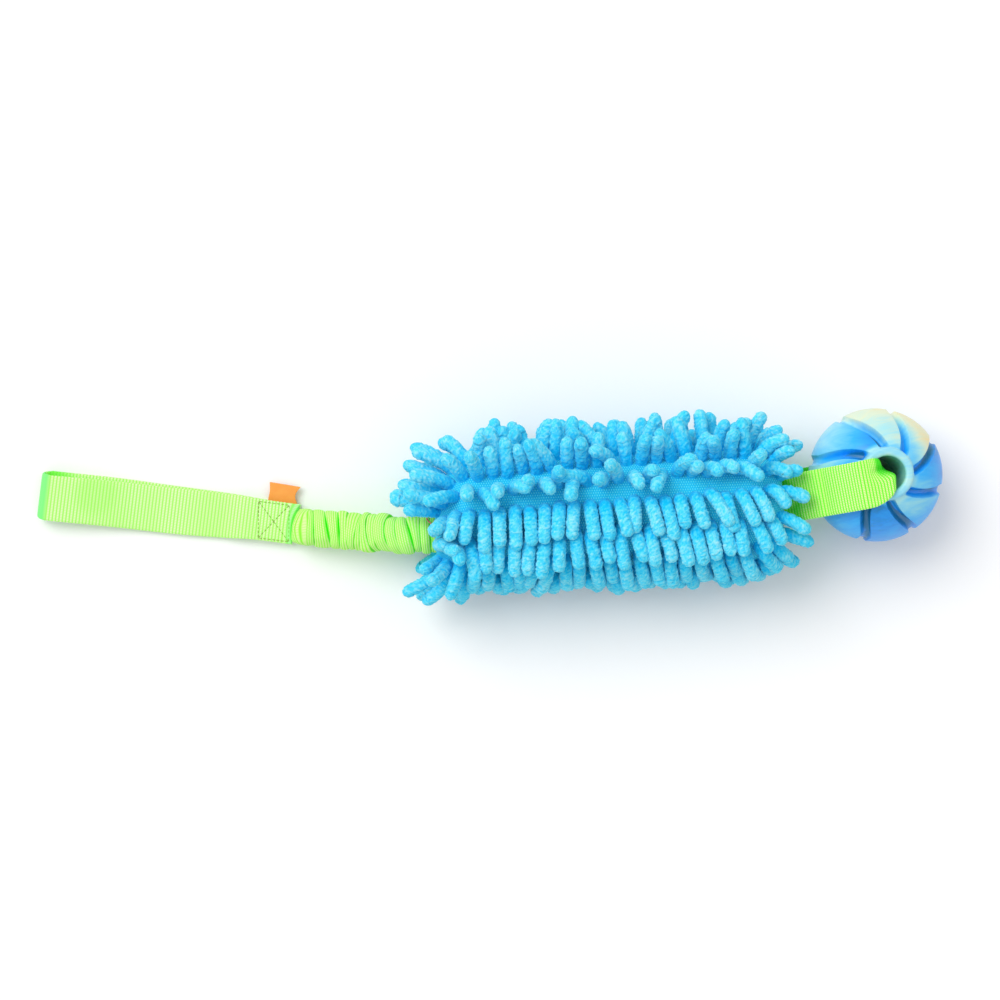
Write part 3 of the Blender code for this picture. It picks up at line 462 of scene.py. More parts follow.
def webbing(pale, light, deep, pitch, painted_shade=None):
    """Painted light on the ribs, shade between them, and the weave's dots as painted highlights."""

    def make(wire):
        rest = rest_of(wire)
        along, across, _ = rest.parts()
        rib = wire.math("ABSOLUTE", wire.math("SINE", along * (math.pi / pitch)))
        dot = across.wave(DOT, wire.math("FLOOR", along / pitch) * math.pi)
        thread = rest.stretched(1.0, 3.0, 1.0).noise(900.0, 3.0, 0.6)
        broad = rest.stretched(1.0, 0.4, 1.0).noise(38.0, 2.0).step(0.35, 0.7)
        # Painted light on each rib's top and painted shade in the grooves between ribs.
        top = rib.step(0.15, 0.75) * (thread * 0.4 + 0.8)
        # The weave's dots, painted pale as highlights on the ribs.
        spot = dot.step(0.2, 0.85) * rib.step(0.45, 0.95) * (1.0 - broad * 0.55)
        # The hook paints shade: it closes the ribs' light and the dots, and so deepens the colour.
        if painted_shade:
            top, spot = painted_shade(top, spot, along, across)
        ground = wire.math("MINIMUM", top, 1.0).mix(colour(deep), colour(light))
        base = spot.mix(ground, colour(pale))
        normal = (dot * rib * 0.7 + thread * 0.5).bump(WEAVE_BUMP, 0.8)
        return {"Base_Color": base, "Roughness": 0.72 - spot * 0.2, "Normal": normal}

    return make


HANDLE_PITCH = 1.79 * MM
FOLD_AT = 135.5 * MM
# Painted shade on the upper layer where it sags: its middle and its size along and across.
SAG_SHADE_AT = (106.0 * MM, 5.0 * MM)
SAG_SHADE_SIZE = (13.0 * MM, 14.0 * MM)
# Painted shade, deep green, inside the bend, from where it begins to where it has faded.
INSIDE_SHADE_FROM = (FOLD_AT + 4.0 * MM, FOLD_AT + 7.0 * MM)
INSIDE_SHADE_TO = (FOLD_AT + 9.0 * MM, FOLD_AT + 26.0 * MM)


def sag_and_fold_shade(top, spot, along, across):
    """Painted shade closes the weave and deepens its colour at the fold and where the upper layer sags.
    """
    off_along = (along - SAG_SHADE_AT[0]) / SAG_SHADE_SIZE[0]
    off_across = (across - SAG_SHADE_AT[1]) / SAG_SHADE_SIZE[1]
    patch = 1.0 - (off_along**2.0 + off_across**2.0).step(0.2, 1.2)
    fold = 1.0 - along.math("ABSOLUTE", along - FOLD_AT).step(3.0 * MM, 6.5 * MM)
    painted_shade = along.math("MAXIMUM", patch * 0.4, fold)
    return top * (1.0 - painted_shade * 0.75), spot * (1.0 - painted_shade)


def handle_finish(wire):
    """Webbing, mint where it bends and at its cut end, with painted deep green shade inside the bend.
    """
    made = webbing("#F6FFD8", "#C4FF86", "#9DFF5A", HANDLE_PITCH, sag_and_fold_shade)(wire)
    along = rest_of(wire).parts()[0]
    bent = 1.0 - wire.math("ABSOLUTE", along - FOLD_AT).step(2.5 * MM, 5.5 * MM)
    cut = 1.0 - along.step(1.0 * MM, 3.0 * MM)
    # Painted shade on the lower layer, where the upper layer shades it inside the bend.
    inside = along.step(*INSIDE_SHADE_FROM) * (1.0 - along.step(*INSIDE_SHADE_TO))
    mint = wire.math("MAXIMUM", bent * 0.8, cut * 0.5)
    base = mint.mix(made["Base_Color"], colour("#72FF84"))
    made["Base_Color"] = (inside * 0.85).mix(base, colour("#5CEE10"))
    return made


handle_green = finish("handle_green", handle_finish, Sheen_Weight=0.15, Sheen_Roughness=0.5)
print("webbing", handle_green.name)

# %% [markdown]
# ## The hand loop
#
# The strap starts at the box stitch, runs out over the top, turns at the fold and comes back
# underneath. The two layers open a little towards the fold, which is the hand's way in, and the
# layer below shows along one edge because the strap was folded slightly askew. It is worked out
# in the handle's own axes: X from the fold to the stitch, and Z up from the sewn-in tab.

# %% Build the hand loop
HANDLE_LENGTH = 134.5 * MM
FOLD_HEIGHT = 10.4 * MM
FLARE_FROM = 6.0 * MM
FLARE = 58.0 * MM
SKEW = 2.4 * MM
TAB_Z = 3.3 * MM
UPPER_Z = 5.75 * MM
CLOSED_Z = 3.15 * MM
PART_FROM = 95.5 * MM
PART_OVER = 16.0 * MM
BOX_LENGTH = 16.5 * MM
BOX_WIDTH = 19.5 * MM
BOX_INSET = 0.8 * MM
BOX_SHEAR = 0.11
PUCKER = 0.28 * MM
PUCKER_SPREAD = 0.75 * MM
HANDLE_COLUMNS = 33
# The strap sways by a little, as the product of two slow waves that start past the stitches.
HANDLE_SWAY = 0.3 * MM
SWAY_WAVES = (61.0, 23.0)
SWAY_FROM = 30.0 * MM
# Distance from the fold, how far the strap bows aside there, and its half width, in millimetres.
HANDLE_RUN = [
    (0.0, 0.0, 12.2),
    (46.0, 0.85, 12.35),
    (80.0, 1.25, 12.3),
    (104.0, 1.7, 11.8),
    (116.0, 2.0, 11.0),
    (140.0, 1.9, 10.9),
]
HANDLE_SPOTS = np.linspace(-10.0 * MM, 160.0 * MM, 341)
HANDLE_SMOOTHING = 120
END_HOLLOW = 0.4 * MM
END_CORNERS = (1.6 * MM, 3.8 * MM)
END_FROM = 4.0 * MM


def upper_height(x):
    """The middle of the upper layer above the floor, x being the distance from the fold."""
    fold = FOLD_HEIGHT - WEB_THICK / 2.0
    flared = fold + (CLOSED_Z - fold) * ease((x - FLARE_FROM) / FLARE)
    return flared + (UPPER_Z - CLOSED_Z) * ease((x - PART_FROM) / PART_OVER)


def handle_run(x, column):
    """A column of the table above, smooth along the strap, at distances from the fold."""
    table = np.array(HANDLE_RUN) * MM
    straight = np.interp(HANDLE_SPOTS, table[:, 0], table[:, column])
    return np.interp(x, HANDLE_SPOTS, smoothed(straight, HANDLE_SMOOTHING))


def handle_line():
    """From the end of the upper layer round the fold to the end of the lower one."""
    radius = (FOLD_HEIGHT - WEB_THICK) / 2.0
    out = np.linspace(HANDLE_LENGTH, radius, 400)
    turn = np.linspace(0.0, math.pi, 60)[1:]
    back = np.linspace(radius, HANDLE_LENGTH, 300)[1:]
    x = np.concatenate([out, radius - radius * np.sin(turn), back])
    low = WEB_THICK / 2.0
    z = np.concatenate([upper_height(out), low + radius + radius * np.cos(turn), low + 0.0 * back])
    skew = [0.0 * out, turn / math.pi, (HANDLE_LENGTH - back) / HANDLE_LENGTH]
    aside = SKEW * np.concatenate(skew) + handle_run(x, 1)
    return np.stack([x - HANDLE_LENGTH, aside, z - TAB_Z], axis=1)


def stitch_lines():
    """The box and its two diagonals, as pairs of ends on the strap: along, across."""
    near, far = BOX_INSET, BOX_INSET + BOX_LENGTH
    side = BOX_WIDTH / 2.0
    lean = BOX_SHEAR * side
    corners = [(near - lean, -side), (near + lean, side), (far + lean, side), (far - lean, -side)]
    rim = list(zip(corners, corners[1:] + corners[:1]))
    return rim + [(corners[0], corners[2]), (corners[1], corners[3])]


def stitch_press(along, across):
    """How near each point is to a line of stitches, 1 on the line and 0 away from it."""
    nearest = np.full(np.broadcast(along, across).shape, 1.0)
    for start, end in stitch_lines():
        way = np.array(end) - np.array(start)
        share = ((along - start[0]) * way[0] + (across - start[1]) * way[1]) / (way @ way)
        share = np.clip(share, 0.0, 1.0)
        off = np.hypot(along - start[0] - share * way[0], across - start[1] - share * way[1])
        nearest = np.minimum(nearest, off)
    return np.exp(-((nearest / PUCKER_SPREAD) ** 2))


def build_handle():
    """The strap with its puckers, its ends cut hollow so that they clasp the sleeve's neck."""
    line, along = spaced(handle_line(), HANDLE_PITCH / ROWS_A_RIB)
    sway = np.sin(along * SWAY_WAVES[0]) * np.sin(along * SWAY_WAVES[1] + 1.0)
    line[:, 1] += HANDLE_SWAY * sway * ease(along / SWAY_FROM)
    across = np.tile([0.0, 1.0, 0.0], (len(line), 1))
    half = handle_run(line[:, 0] + HANDLE_LENGTH, 2)
    shares, _ = section(HANDLE_COLUMNS)
    dip = PUCKER * stitch_press(along[:, None], shares * half[:, None])
    grid, rest = strap_grid(line, across, half, HANDLE_PITCH, columns=HANDLE_COLUMNS, dip=dip)
    corner = np.where(shares > 0.0, END_CORNERS[1], END_CORNERS[0])
    near_end = ease((line[:, 0] + END_FROM) / END_FROM)
    grid[..., 0] += near_end[:, None] * (END_HOLLOW + corner * shares**2)
    shape = Shape()
    shape.add(grid, rest)
    return shape.piece("hand_loop", handle_green, "green_webbing", handle_axes)


hand_loop = build_handle()
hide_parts("handle_webbing")
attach(hand_loop, "handle")

# %% [markdown]
# ## Stitches
#
# A box with a cross in it holds the handle shut round the sleeve's end. A sewing machine leaves a
# row of short straight stitches, each pulled down into the cloth at both ends, so each one is a
# small arched rod of twisted thread, and the webbing already dips beneath the row.

# %% Rows of thread
STITCH = 1.75 * MM
STITCH_GAP = 0.5 * MM
THREAD_RADIUS = 0.19 * MM
THREAD_ARCH = 0.16 * MM
THREAD_SIDES = 8
THREAD_RINGS = 9
THREAD_TWIST = 0.5 * MM
ROD_END_POWER = 6


def rod(line, radius, sides):
    """Rings of a round rod along a line, drawn in at its ends."""
    tangent = unit(np.gradient(line, axis=0))
    guide = np.array([0.0, 0.0, 1.0]) if abs(tangent[0][2]) < 0.9 else np.array([1.0, 0.0, 0.0])
    side = unit(np.cross(guide, tangent))
    up = np.cross(tangent, side)
    turn = full_turn(sides)
    share = np.linspace(-1.0, 1.0, len(line))
    width = radius * (1.0 - np.abs(share) ** ROD_END_POWER * 0.999) ** 0.5
    ring = side[:, None] * np.cos(turn)[None, :, None] + up[:, None] * np.sin(turn)[None, :, None]
    points = line[:, None] + ring * width[:, None, None]
    return points, stacked(runs_of(line)[:, None], radius * np.cos(turn), radius * np.sin(turn))


def thread_finish(light, deep):
    def make(wire):
        along, first, _ = rest_of(wire).parts()
        twist = (along + first * 2.0).wave(THREAD_TWIST)
        fibre = rest_of(wire).noise(2500.0, 2.0)
        base = (twist * 0.7 + fibre * 0.3).mix(colour(deep), colour(light))
        return {"Base_Color": base, "Normal": twist.bump(0.06 * MM)}

    return make


olive_make = thread_finish("#B2D252", "#70901C")
olive_thread = finish("olive_thread", olive_make, Roughness=0.55, Sheen_Weight=0.2)


def stitched(shape, start, end, height):
    """A row of stitches between two places on the strap, at a height above the handle's end."""
    way = np.array(end) - np.array(start)
    length = np.hypot(*way)
    count = int(round(length / (STITCH + STITCH_GAP)))
    pitch = length / count
    for i in range(count):
        runs = np.array([i * pitch, (i + 1) * pitch]) + [STITCH_GAP / 2.0, -STITCH_GAP / 2.0]
        arch = np.sin(np.linspace(0.0, math.pi, THREAD_RINGS)) * THREAD_ARCH - PUCKER
        spot = np.array(start)[:, None] + way[:, None] / length * np.linspace(*runs, THREAD_RINGS)
        aside = handle_run(HANDLE_LENGTH - spot[0], 1)
        line = np.stack([-spot[0], spot[1] + aside, height + arch], axis=1)
        shape.add(*rod(line, THREAD_RADIUS, THREAD_SIDES))


def build_stitches():
    shape = Shape()
    for start, end in stitch_lines():
        stitched(shape, start, end, UPPER_Z + WEB_THICK / 2.0 - TAB_Z)
    return shape.piece("box_stitch", olive_thread, "stitch_thread", handle_axes)


box_stitch = build_stitches()
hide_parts("handle_box_stitch")
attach(box_stitch, "handle")

# %% [markdown]
# ## The orange tab
#
# A short piece of ribbon is folded over and sewn into the handle's edge. It is bare. Its cloth is
# a fine satin weave, stiff enough to stand out straight but drawn in where it was sewn, so its
# free corner flares and its sides are not quite parallel.

# %% Ribbon and its finish
LABEL_WIDTH = 17.0 * MM
LABEL_SHOWN = 9.6 * MM
LABEL_EDGE = 12.6 * MM
LABEL_TUCK = 4.0 * MM
LABEL_LEAN = 0.04
LABEL_THICK = 0.42 * MM
LABEL_FOLD = 0.55 * MM
LABEL_RIGHT = 3.0 * MM
LABEL_PINCH = 1.9 * MM
LABEL_PINCH_POWER = 1.2
LABEL_PINCH_LEFT = 0.25
LABEL_FLARE = 0.7 * MM
LABEL_BOW = 0.5 * MM
LABEL_COLUMNS = 15
WEFT = 0.42 * MM
WARP = 0.30 * MM
# A rib pitch much longer than the ribbon leaves it smooth.
NO_RIBS = 1.0


def ribbon_finish(wire):
    rest = rest_of(wire)
    along, across, _ = rest.parts()
    weft = along.wave(WEFT)
    warp = across.wave(WARP)
    soft = rest.noise(160.0, 3.0)
    base = (weft * warp * 0.5 + soft * 0.6).mix(colour("#FA8C1C"), colour("#FFB54E"))
    return {"Base_Color": base, "Normal": (weft + warp * 0.6).bump(0.05 * MM, 0.7)}


orange_ribbon = finish("orange_ribbon", ribbon_finish, Roughness=0.48, Sheen_Weight=0.3)


def build_label():
    inner = LABEL_EDGE - LABEL_TUCK
    outer = LABEL_EDGE + LABEL_SHOWN
    radius = (LABEL_FOLD + LABEL_THICK) / 2.0
    out = np.linspace(inner, outer - radius, 40)
    turn = np.linspace(0.0, math.pi, 14)[1:-1]
    y = np.concatenate([out, outer - radius + radius * np.sin(turn), out[::-1]])
    z = np.concatenate([0.0 * out + radius, radius * np.cos(turn), 0.0 * out - radius])
    share = np.clip((y - LABEL_EDGE) / LABEL_SHOWN, 0.0, 1.0)
    drawn = np.sin(math.pi * share) ** LABEL_PINCH_POWER
    pinch = LABEL_PINCH * drawn + LABEL_FLARE * (1.0 - share)
    left = LABEL_RIGHT - LABEL_WIDTH + LABEL_PINCH_LEFT * pinch
    right = LABEL_RIGHT - pinch
    bow = LABEL_BOW * np.sin(math.pi * share * 0.9)
    line = np.stack([(left + right) / 2.0, y, z + bow], axis=1)
    across = np.tile([1.0, 0.0, 0.0], (len(line), 1))
    half = (right - left) / 2.0
    grid, rest = strap_grid(line, across, half, NO_RIBS, columns=LABEL_COLUMNS, thick=LABEL_THICK)
    grid[..., 1] -= LABEL_LEAN * grid[..., 0]
    shape = Shape()
    shape.add(grid, rest)
    return shape.piece("side_tab", orange_ribbon, "orange_ribbon", handle_axes)


side_tab = build_label()
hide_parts("label_tab")
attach(side_tab, "handle")

# %% [markdown]
# ## The way of the sleeve
#
# The sleeve leaves the handle flat on the floor, fills out round its elastic and climbs a little
# to enter the body off to one side. Its middle line is a smooth curve between those two ends, and
# every ring of the sleeve, the elastic inside it and the red thread at its mouth are set out from
# the same line.

# %% The sleeve's middle line and its rings
HANDLE_YAW = -7.0
MOP_LENGTH = 181.0 * MM
MOUTH_SHIFT = (-8.8 * MM, -7.8 * MM)
SLEEVE_LENGTH = 79.0 * MM
SLEEVE_TUCK = 13.0 * MM
SLEEVE_HIGH = 9.7 * MM
SLEEVE_LIES = 12.7 * MM
OPENS_FROM = 0.6 * MM
OPENS_OVER = 11.0 * MM
TAB_HALF = 7.8 * MM
TAB_HIGH = 1.3 * MM
TAB_OVER = 6.0 * MM
STEP = 0.2 * MM
# Distance from the handle's end, and how far the sleeve bows aside there, in millimetres.
SLEEVE_BOW = [(0.0, 1.9), (8.0, 1.0), (28.0, 1.6), (44.0, 1.3), (56.0, 0.6), (79.0, 0.3)]
BOW_SPOTS = np.linspace(-30.0 * MM, 100.0 * MM, 261)
BOW_SMOOTHING = 60


def flat_way(yaw):
    return np.array([math.cos(math.radians(yaw)), math.sin(math.radians(yaw)), 0.0])


handle_end = np.array(joints["handle_fold"]["pos_m"])
sleeve_mouth = np.array(mop_axes @ Vector((-MOP_LENGTH / 2.0, *MOUTH_SHIFT)))


def opens(s):
    """0 where the sleeve is pressed flat in the handle, 1 where it is round."""
    return ease((s - OPENS_FROM) / OPENS_OVER)


def smooth_sleeve_bow(s):
    """How far the sleeve stands aside of the straight curve, from a short table."""
    places, asides = np.array(SLEEVE_BOW).T * MM
    straight = np.interp(BOW_SPOTS, places, asides)
    return np.interp(s, BOW_SPOTS, smoothed(straight, BOW_SMOOTHING))


def sleeve_point(s):
    """The middle of the sleeve at distances s from the handle's end."""
    s = np.asarray(s, float)[..., None]
    share = np.clip(s / SLEEVE_LENGTH, 0.0, 1.0)
    left, right = share * (1.0 - share) ** 2, share**2 * (1.0 - share)
    leave, enter = flat_way(HANDLE_YAW), flat_way(MOP_YAW)
    flat = (sleeve_mouth - handle_end) * (1.0, 1.0, 0.0)
    place = handle_end + flat * (share - left + right) + (leave * left - enter * right) * SLEEVE_LENGTH
    place = place + leave * np.minimum(s, 0.0) + enter * np.maximum(s - SLEEVE_LENGTH, 0.0)
    low = TAB_Z + (SLEEVE_LIES - TAB_Z) * opens(s)
    place[..., 2:] = low + (sleeve_mouth[2] - low) * ease(share)
    place[..., 1:2] += smooth_sleeve_bow(s)
    return place


def sleeve_ring(s, turn, wide, high):
    """Points round the sleeve, at 0 degrees on its +Y side and at 90 on top."""
    along = unit(sleeve_point(s + STEP) - sleeve_point(s - STEP))
    across = unit(np.cross([0.0, 0.0, 1.0], along))
    up = np.cross(along, across)
    flat = across * (np.cos(turn) * wide)[..., None] + up * (np.sin(turn) * high)[..., None]
    return sleeve_point(s) + flat


print("sleeve mouth at", sleeve_mouth.round(4))

# %% [markdown]
# ## The ruched sleeve
#
# A tube of ribbed green cloth, much longer than the elastic in it, is pushed together into soft
# gathers. Each gather swells between two creases, and the creases lean and bow differently as
# they go round. So the creases are listed first, each with its place on the far edge, on top and
# on the near edge, and the mesh has a fixed number of rows between one crease and the next. The
# rows, and the cloth's ribs with them, then bunch together wherever two creases draw near.
#
# The sleeve crosses three joints: it swings at the body, stretches, and folds at the handle. A
# mesh can bend across one joint, so it is made in three pieces that meet along creases.

# %% Creases and gathers
SLEEVE_RIB = 1.2 * MM
SLEEVE_SIDES = 96
SLEEVE_RIB_RELIEF = 0.17 * MM
SLEEVE_BORE = 6.1 * MM
BORE_FROM = 15.6 * MM
PILLOW = 0.48
# Far edge, top, near edge, then how deep the crease is on top, in millimetres.
CREASES = [
    (-19.0, -19.0, -19.0, 0.0),
    (5.5, 1.0, 2.8, 2.2),
    (12.25, 15.6, 14.2, 1.5),
    (18.6, 23.4, 23.2, 2.6),
    (25.9, 30.0, 28.4, 3.2),
    (31.2, 34.0, 33.4, 0.6),
    (38.4, 38.9, 36.3, 1.2),
    (39.6, 41.2, 39.9, 1.4),
    (43.3, 44.6, 47.2, 1.3),
    (47.2, 48.4, 50.0, 0.7),
    (53.8, 54.0, 56.9, 1.7),
    (58.5, 59.6, 62.0, 1.2),
    (62.7, 67.0, 67.6, 2.8),
    (70.7, 71.6, 71.6, 1.5),
    (75.7, 76.2, 76.3, 1.7),
    (92.0, 92.0, 92.0, 1.0),
]
# How far each gather stands out on its far edge, on top and on its near edge, in millimetres.
CRESTS = [
    (9.6, 9.2, 9.4),
    (9.6, 10.0, 10.0),
    (10.2, 10.0, 10.2),
    (10.0, 9.9, 10.3),
    (10.3, 10.1, 10.6),
    (9.5, 10.0, 10.5),
    (9.4, 9.6, 10.0),
    (10.5, 10.2, 10.9),
    (9.9, 9.8, 9.9),
    (10.7, 9.9, 9.6),
    (9.5, 9.7, 10.2),
    (9.3, 9.9, 10.5),
    (9.5, 9.5, 9.5),
    (9.6, 9.8, 10.3),
    (9.6, 9.6, 9.8),
]
LUMP = 0.22 * MM
# How far down from a crest the painted shade of a crease reaches.
FOLD_SHADE = 1.7 * MM
SIDE_CREASE = 1.0 * MM
# The gathers' usual radius, which lies as high as SLEEVE_HIGH, and the one the ribs' dots go by.
SLEEVE_WIDE = 10.2 * MM
DOTS_RADIUS = 10.0 * MM
BORE_ROWS = 40


def round_wave(far, top, near, turn):
    """A value that is far at 0 degrees, top at 90 and near at 180, and is smooth all the way round."""
    middle_value = (far + near) / 2.0
    return (middle_value + (far - near) / 2.0 * np.cos(turn) + (top - middle_value) * np.sin(turn)) * MM


def gather_rows(index, turn):
    """One gather: places along the sleeve, radius, rib coordinate, and fold tint of painted crease
    shade.
    """
    first, last = CREASES[index], CREASES[index + 1]
    start, end = round_wave(*first[:3], turn), round_wave(*last[:3], turn)
    ribs = max(1, round((last[1] - first[1]) * MM / SLEEVE_RIB))
    share = np.linspace(0.0, 1.0, ribs * ROWS_A_RIB + 1)[:, None]
    crest = round_wave(*CRESTS[index], turn)
    lumps = np.sin(3.0 * turn + 1.7 * index) + 0.6 * np.sin(7.0 * turn + 2.9 * index)
    crest = crest + LUMP * lumps * (index > 0)
    deep = np.array([first[3], last[3]]) * MM
    top = np.sin(turn) ** 2
    low = [crest - SIDE_CREASE - (d - SIDE_CREASE) * top for d in deep]
    floor = low[0] + (low[1] - low[0]) * share
    swell = (4.0 * share * (1.0 - share)) ** PILLOW
    along = share * ribs * SLEEVE_RIB
    rib = rib_height(along, SLEEVE_RIB)
    radius = floor + (crest - floor) * swell + SLEEVE_RIB_RELIEF * 0.5 * (rib - 1.0) * swell
    # Painted shade: the fold tint falls from 1 on the crest to 0 this far down into a crease.
    fold = 1.0 - ease((crest - radius) / FOLD_SHADE)
    return start + (end - start) * share, radius, along, fold


def sleeve_shape(first, last, bored):
    """The gathers from one crease to another as one closed skin."""
    turn = full_turn(SLEEVE_SIDES)
    gathers, so_far = [], 0.0
    for index in range(first, last):
        s, radius, rib, fold = gather_rows(index, turn)
        shared_row = 0 if index == first else 1
        rows = [s, radius, rib + so_far + 0.0 * s, fold]
        gathers.append([part[shared_row:] for part in rows])
        so_far += rib[-1, 0]
    s, radius, rib, fold = (np.concatenate(parts) for parts in zip(*gathers))
    wide = radius - (radius - TAB_HALF) * ease(-s / TAB_OVER)
    high = radius * SLEEVE_HIGH / SLEEVE_WIDE
    high = TAB_HIGH + (high - TAB_HIGH) * opens(s)
    points = sleeve_ring(s, turn, wide, high)
    rest = stacked(rib, turn * DOTS_RADIUS, 0.0)
    shape = Shape()
    if not bored:
        shape.add(points, rest, fold)
        return shape
    inside = np.linspace(s[-1], np.maximum(s[0], BORE_FROM), BORE_ROWS)
    narrow = np.full(inside.shape, SLEEVE_BORE)
    bore = sleeve_ring(inside, turn, narrow, narrow)
    bore_rest = np.broadcast_to(rest[:1], bore.shape)
    # The bore's rows get a fold tint of 0, painted crease shade all through.
    skin = [(points, bore), (rest, bore_rest), (fold, 0.0 * inside)]
    shape.add(*[np.concatenate(pair) for pair in skin], loop=True)
    return shape


def sleeve_finish(wire):
    """The strap's ribs and dots, with painted shade of a clear deep green down in the creases."""
    made = webbing("#F2FFC0", "#BCFF70", "#8CFF3C", SLEEVE_RIB)(wire)
    # Painted shade in the creases and in the bore, from the fold tint.
    made["Base_Color"] = tint_of(wire).step(0.0, 0.8).mix(colour("#44F600"), made["Base_Color"])
    return made


sleeve_green = finish("sleeve_green", sleeve_finish, Specular_IOR_Level=0.25)
# Name, first and last crease, bored or not, the bodies at each end of the bend, and its places.
SLEEVE_PARTS = [
    ("sleeve_fold", 0, 2, False, "sleeve_end", "handle", 5.5, -0.8),
    ("sleeve_stretch", 2, 8, True, "bungee", "sleeve_end", 43.0, 14.5),
    ("sleeve_swing", 8, 15, True, "mop", "bungee", 67.5, 47.6),
]
for name, first, last, bored, near_body, far_body, start, end in SLEEVE_PARTS:
    sleeve = sleeve_shape(first, last, bored).piece(name, sleeve_green, "green_webbing")
    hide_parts("bungee_sleeve")
    sleeve_point(start * MM)
    sleeve_point(end * MM)
    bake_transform(sleeve)

# %% [markdown]
# ## Elastic
#
# Inside the sleeve runs a round elastic cord, the part that does the work. It can only be seen
# down the sleeve's bore, so its braid is left shallow: two sets of strands that cross.

# %% The cord in the sleeve
ELASTIC_RADIUS = 5.0 * MM
ELASTIC_SIDES = 32
STRANDS = 8
BRAID_PITCH = 9.0 * MM
BRAID_RELIEF = 0.25 * MM
ELASTIC_STEP = 0.7 * MM
ELASTIC_MEETS = 45.2 * MM


def elastic_shape(start, end):
    s = np.arange(start, end, ELASTIC_STEP)[:, None]
    turn = full_turn(ELASTIC_SIDES)
    lay = s * 2.0 * math.pi / BRAID_PITCH
    left, right = (np.sin((turn + way * lay) * STRANDS / 2.0) for way in (1.0, -1.0))
    strands = np.maximum(left, right)
    radius = ELASTIC_RADIUS + BRAID_RELIEF * 0.5 * (strands - 1.0)
    points = sleeve_ring(np.broadcast_to(s, radius.shape), turn, radius, radius)
    shape = Shape()
    shape.add(points, stacked(s, turn * ELASTIC_RADIUS, radius), np.clip(strands, 0.0, 1.0))
    return shape


def elastic_finish(wire):
    strand = tint_of(wire)
    fibre = rest_of(wire).stretched(0.4, 1.0, 1.0).noise(2600.0, 2.0)
    base = (strand * 0.7 + fibre * 0.3).mix(colour("#C9CCC8"), colour("#F6F6F2"))
    return {"Base_Color": base, "Normal": fibre.bump(0.06 * MM)}


white_braid = finish("white_braid", elastic_finish, Roughness=0.7, Sheen_Weight=0.2)
# Name, its two ends, the bodies at each end of the bend, and the bend's places in millimetres.
ELASTIC_PARTS = [
    ("elastic_stretch", BORE_FROM + 0.3 * MM, ELASTIC_MEETS, "bungee", "sleeve_end", 43.0, 15.0),
    ("elastic_swing", ELASTIC_MEETS, SLEEVE_LENGTH + SLEEVE_TUCK, "mop", "bungee", 67.5, 47.6),
]
for name, low, high, near_body, far_body, start, end in ELASTIC_PARTS:
    elastic = elastic_shape(low, high).piece(name, white_braid, "white_elastic")
    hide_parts("elastic_cord")
    sleeve_point(start * MM)
    sleeve_point(end * MM)
    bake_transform(elastic)

# %% [markdown]
# ## The red thread
#
# At the seam where the sleeve goes into the body, one end of the tacking thread was left long.
# Two thin plies are twisted about each other along the seam, and the loose end stands clear.

# %% Two plies twisted
PLY_RADIUS = 0.24 * MM
PLY_APART = 0.2 * MM
PLY_TWIST = 2.2 * MM
PLY_SIDES = 10
# The turn round the sleeve at both ends, in degrees, and how the loose end leaves the seam.
TACK_TURNS = (92.0, 36.0)
TACK_AT, TACK_BACK = 77.2 * MM, 2.6 * MM
TACK_HIGH, TACK_CLEAR = 10.3 * MM, 1.7 * MM
# The shares of the thread from which it goes back along the sleeve, and from which it rises.
TACK_GOES, TACK_GOES_OVER = 0.55, 0.45
TACK_RISES, TACK_RISES_OVER = 0.8, 0.2


def build_red_thread():
    share = np.linspace(0.0, 1.0, 90)
    turn = np.radians(TACK_TURNS[0] + (TACK_TURNS[1] - TACK_TURNS[0]) * share)
    s = TACK_AT - TACK_BACK * ease((share - TACK_GOES) / TACK_GOES_OVER)
    height = TACK_HIGH + TACK_CLEAR * ease((share - TACK_RISES) / TACK_RISES_OVER)
    line = sleeve_ring(s, turn, height, height)
    shape = Shape()
    for k in range(2):
        twist = runs_of(line) * 2.0 * math.pi / PLY_TWIST + math.pi * k
        ply = line + PLY_APART * stacked(np.cos(twist), 0.0, np.sin(twist))
        shape.add(*rod(ply, PLY_RADIUS, PLY_SIDES))
    return shape.piece("red_tack", red_cotton, "red_thread")


red_cotton = finish("red_tack", thread_finish("#FF7C84", "#EA4450"), Roughness=0.6)
red_tack = build_red_thread()
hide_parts("sleeve_tack")
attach(red_tack, "mop")

# %% [markdown]
# ## The body's shape
#
# The body is a stuffed tube of knitted cloth with a shoulder at each end. The shoulder draws in
# towards where the sleeve and the ball's strap come out, which is below and above the middle.
# One function gives the middle and the radius at any place along it, and the cloth, the hems and
# the roots of the noodles all ask that function.

# %% Rings of the cover
COVER_RADIUS = 30.0 * MM
COVER_THICK = 2.0 * MM
SHOULDER = 21.0 * MM
STRAIGHT = MOP_LENGTH / 2.0 - SHOULDER
HANDLE_END_RADIUS = 15.0 * MM
BALL_END_RADIUS = 19.0 * MM
loop_out = mop_axes.inverted() @ loop_axes.translation
BALL_END_SHIFT = (2.1 * MM, loop_out.z + 0.4 * MM)


def cover_ring(x):
    """The middle and the radius of the cloth's outside at places along the body."""
    share = np.clip((np.abs(x) - STRAIGHT) / SHOULDER, 0.0, 1.0)
    fall = 1.0 - np.sqrt(1.0 - share**2)
    right = x > 0.0
    end_radius = np.where(right, BALL_END_RADIUS, HANDLE_END_RADIUS)
    radius = COVER_RADIUS - (COVER_RADIUS - end_radius) * fall
    aside = np.where(right, BALL_END_SHIFT[0], MOUTH_SHIFT[0]) * fall
    rise = np.where(right, BALL_END_SHIFT[1], MOUTH_SHIFT[1]) * fall
    return stacked(x, aside, rise), radius


def around(turn):
    """Across the body: +Y at 0 degrees, straight up at 90."""
    return stacked(0.0, np.cos(turn), np.sin(turn))


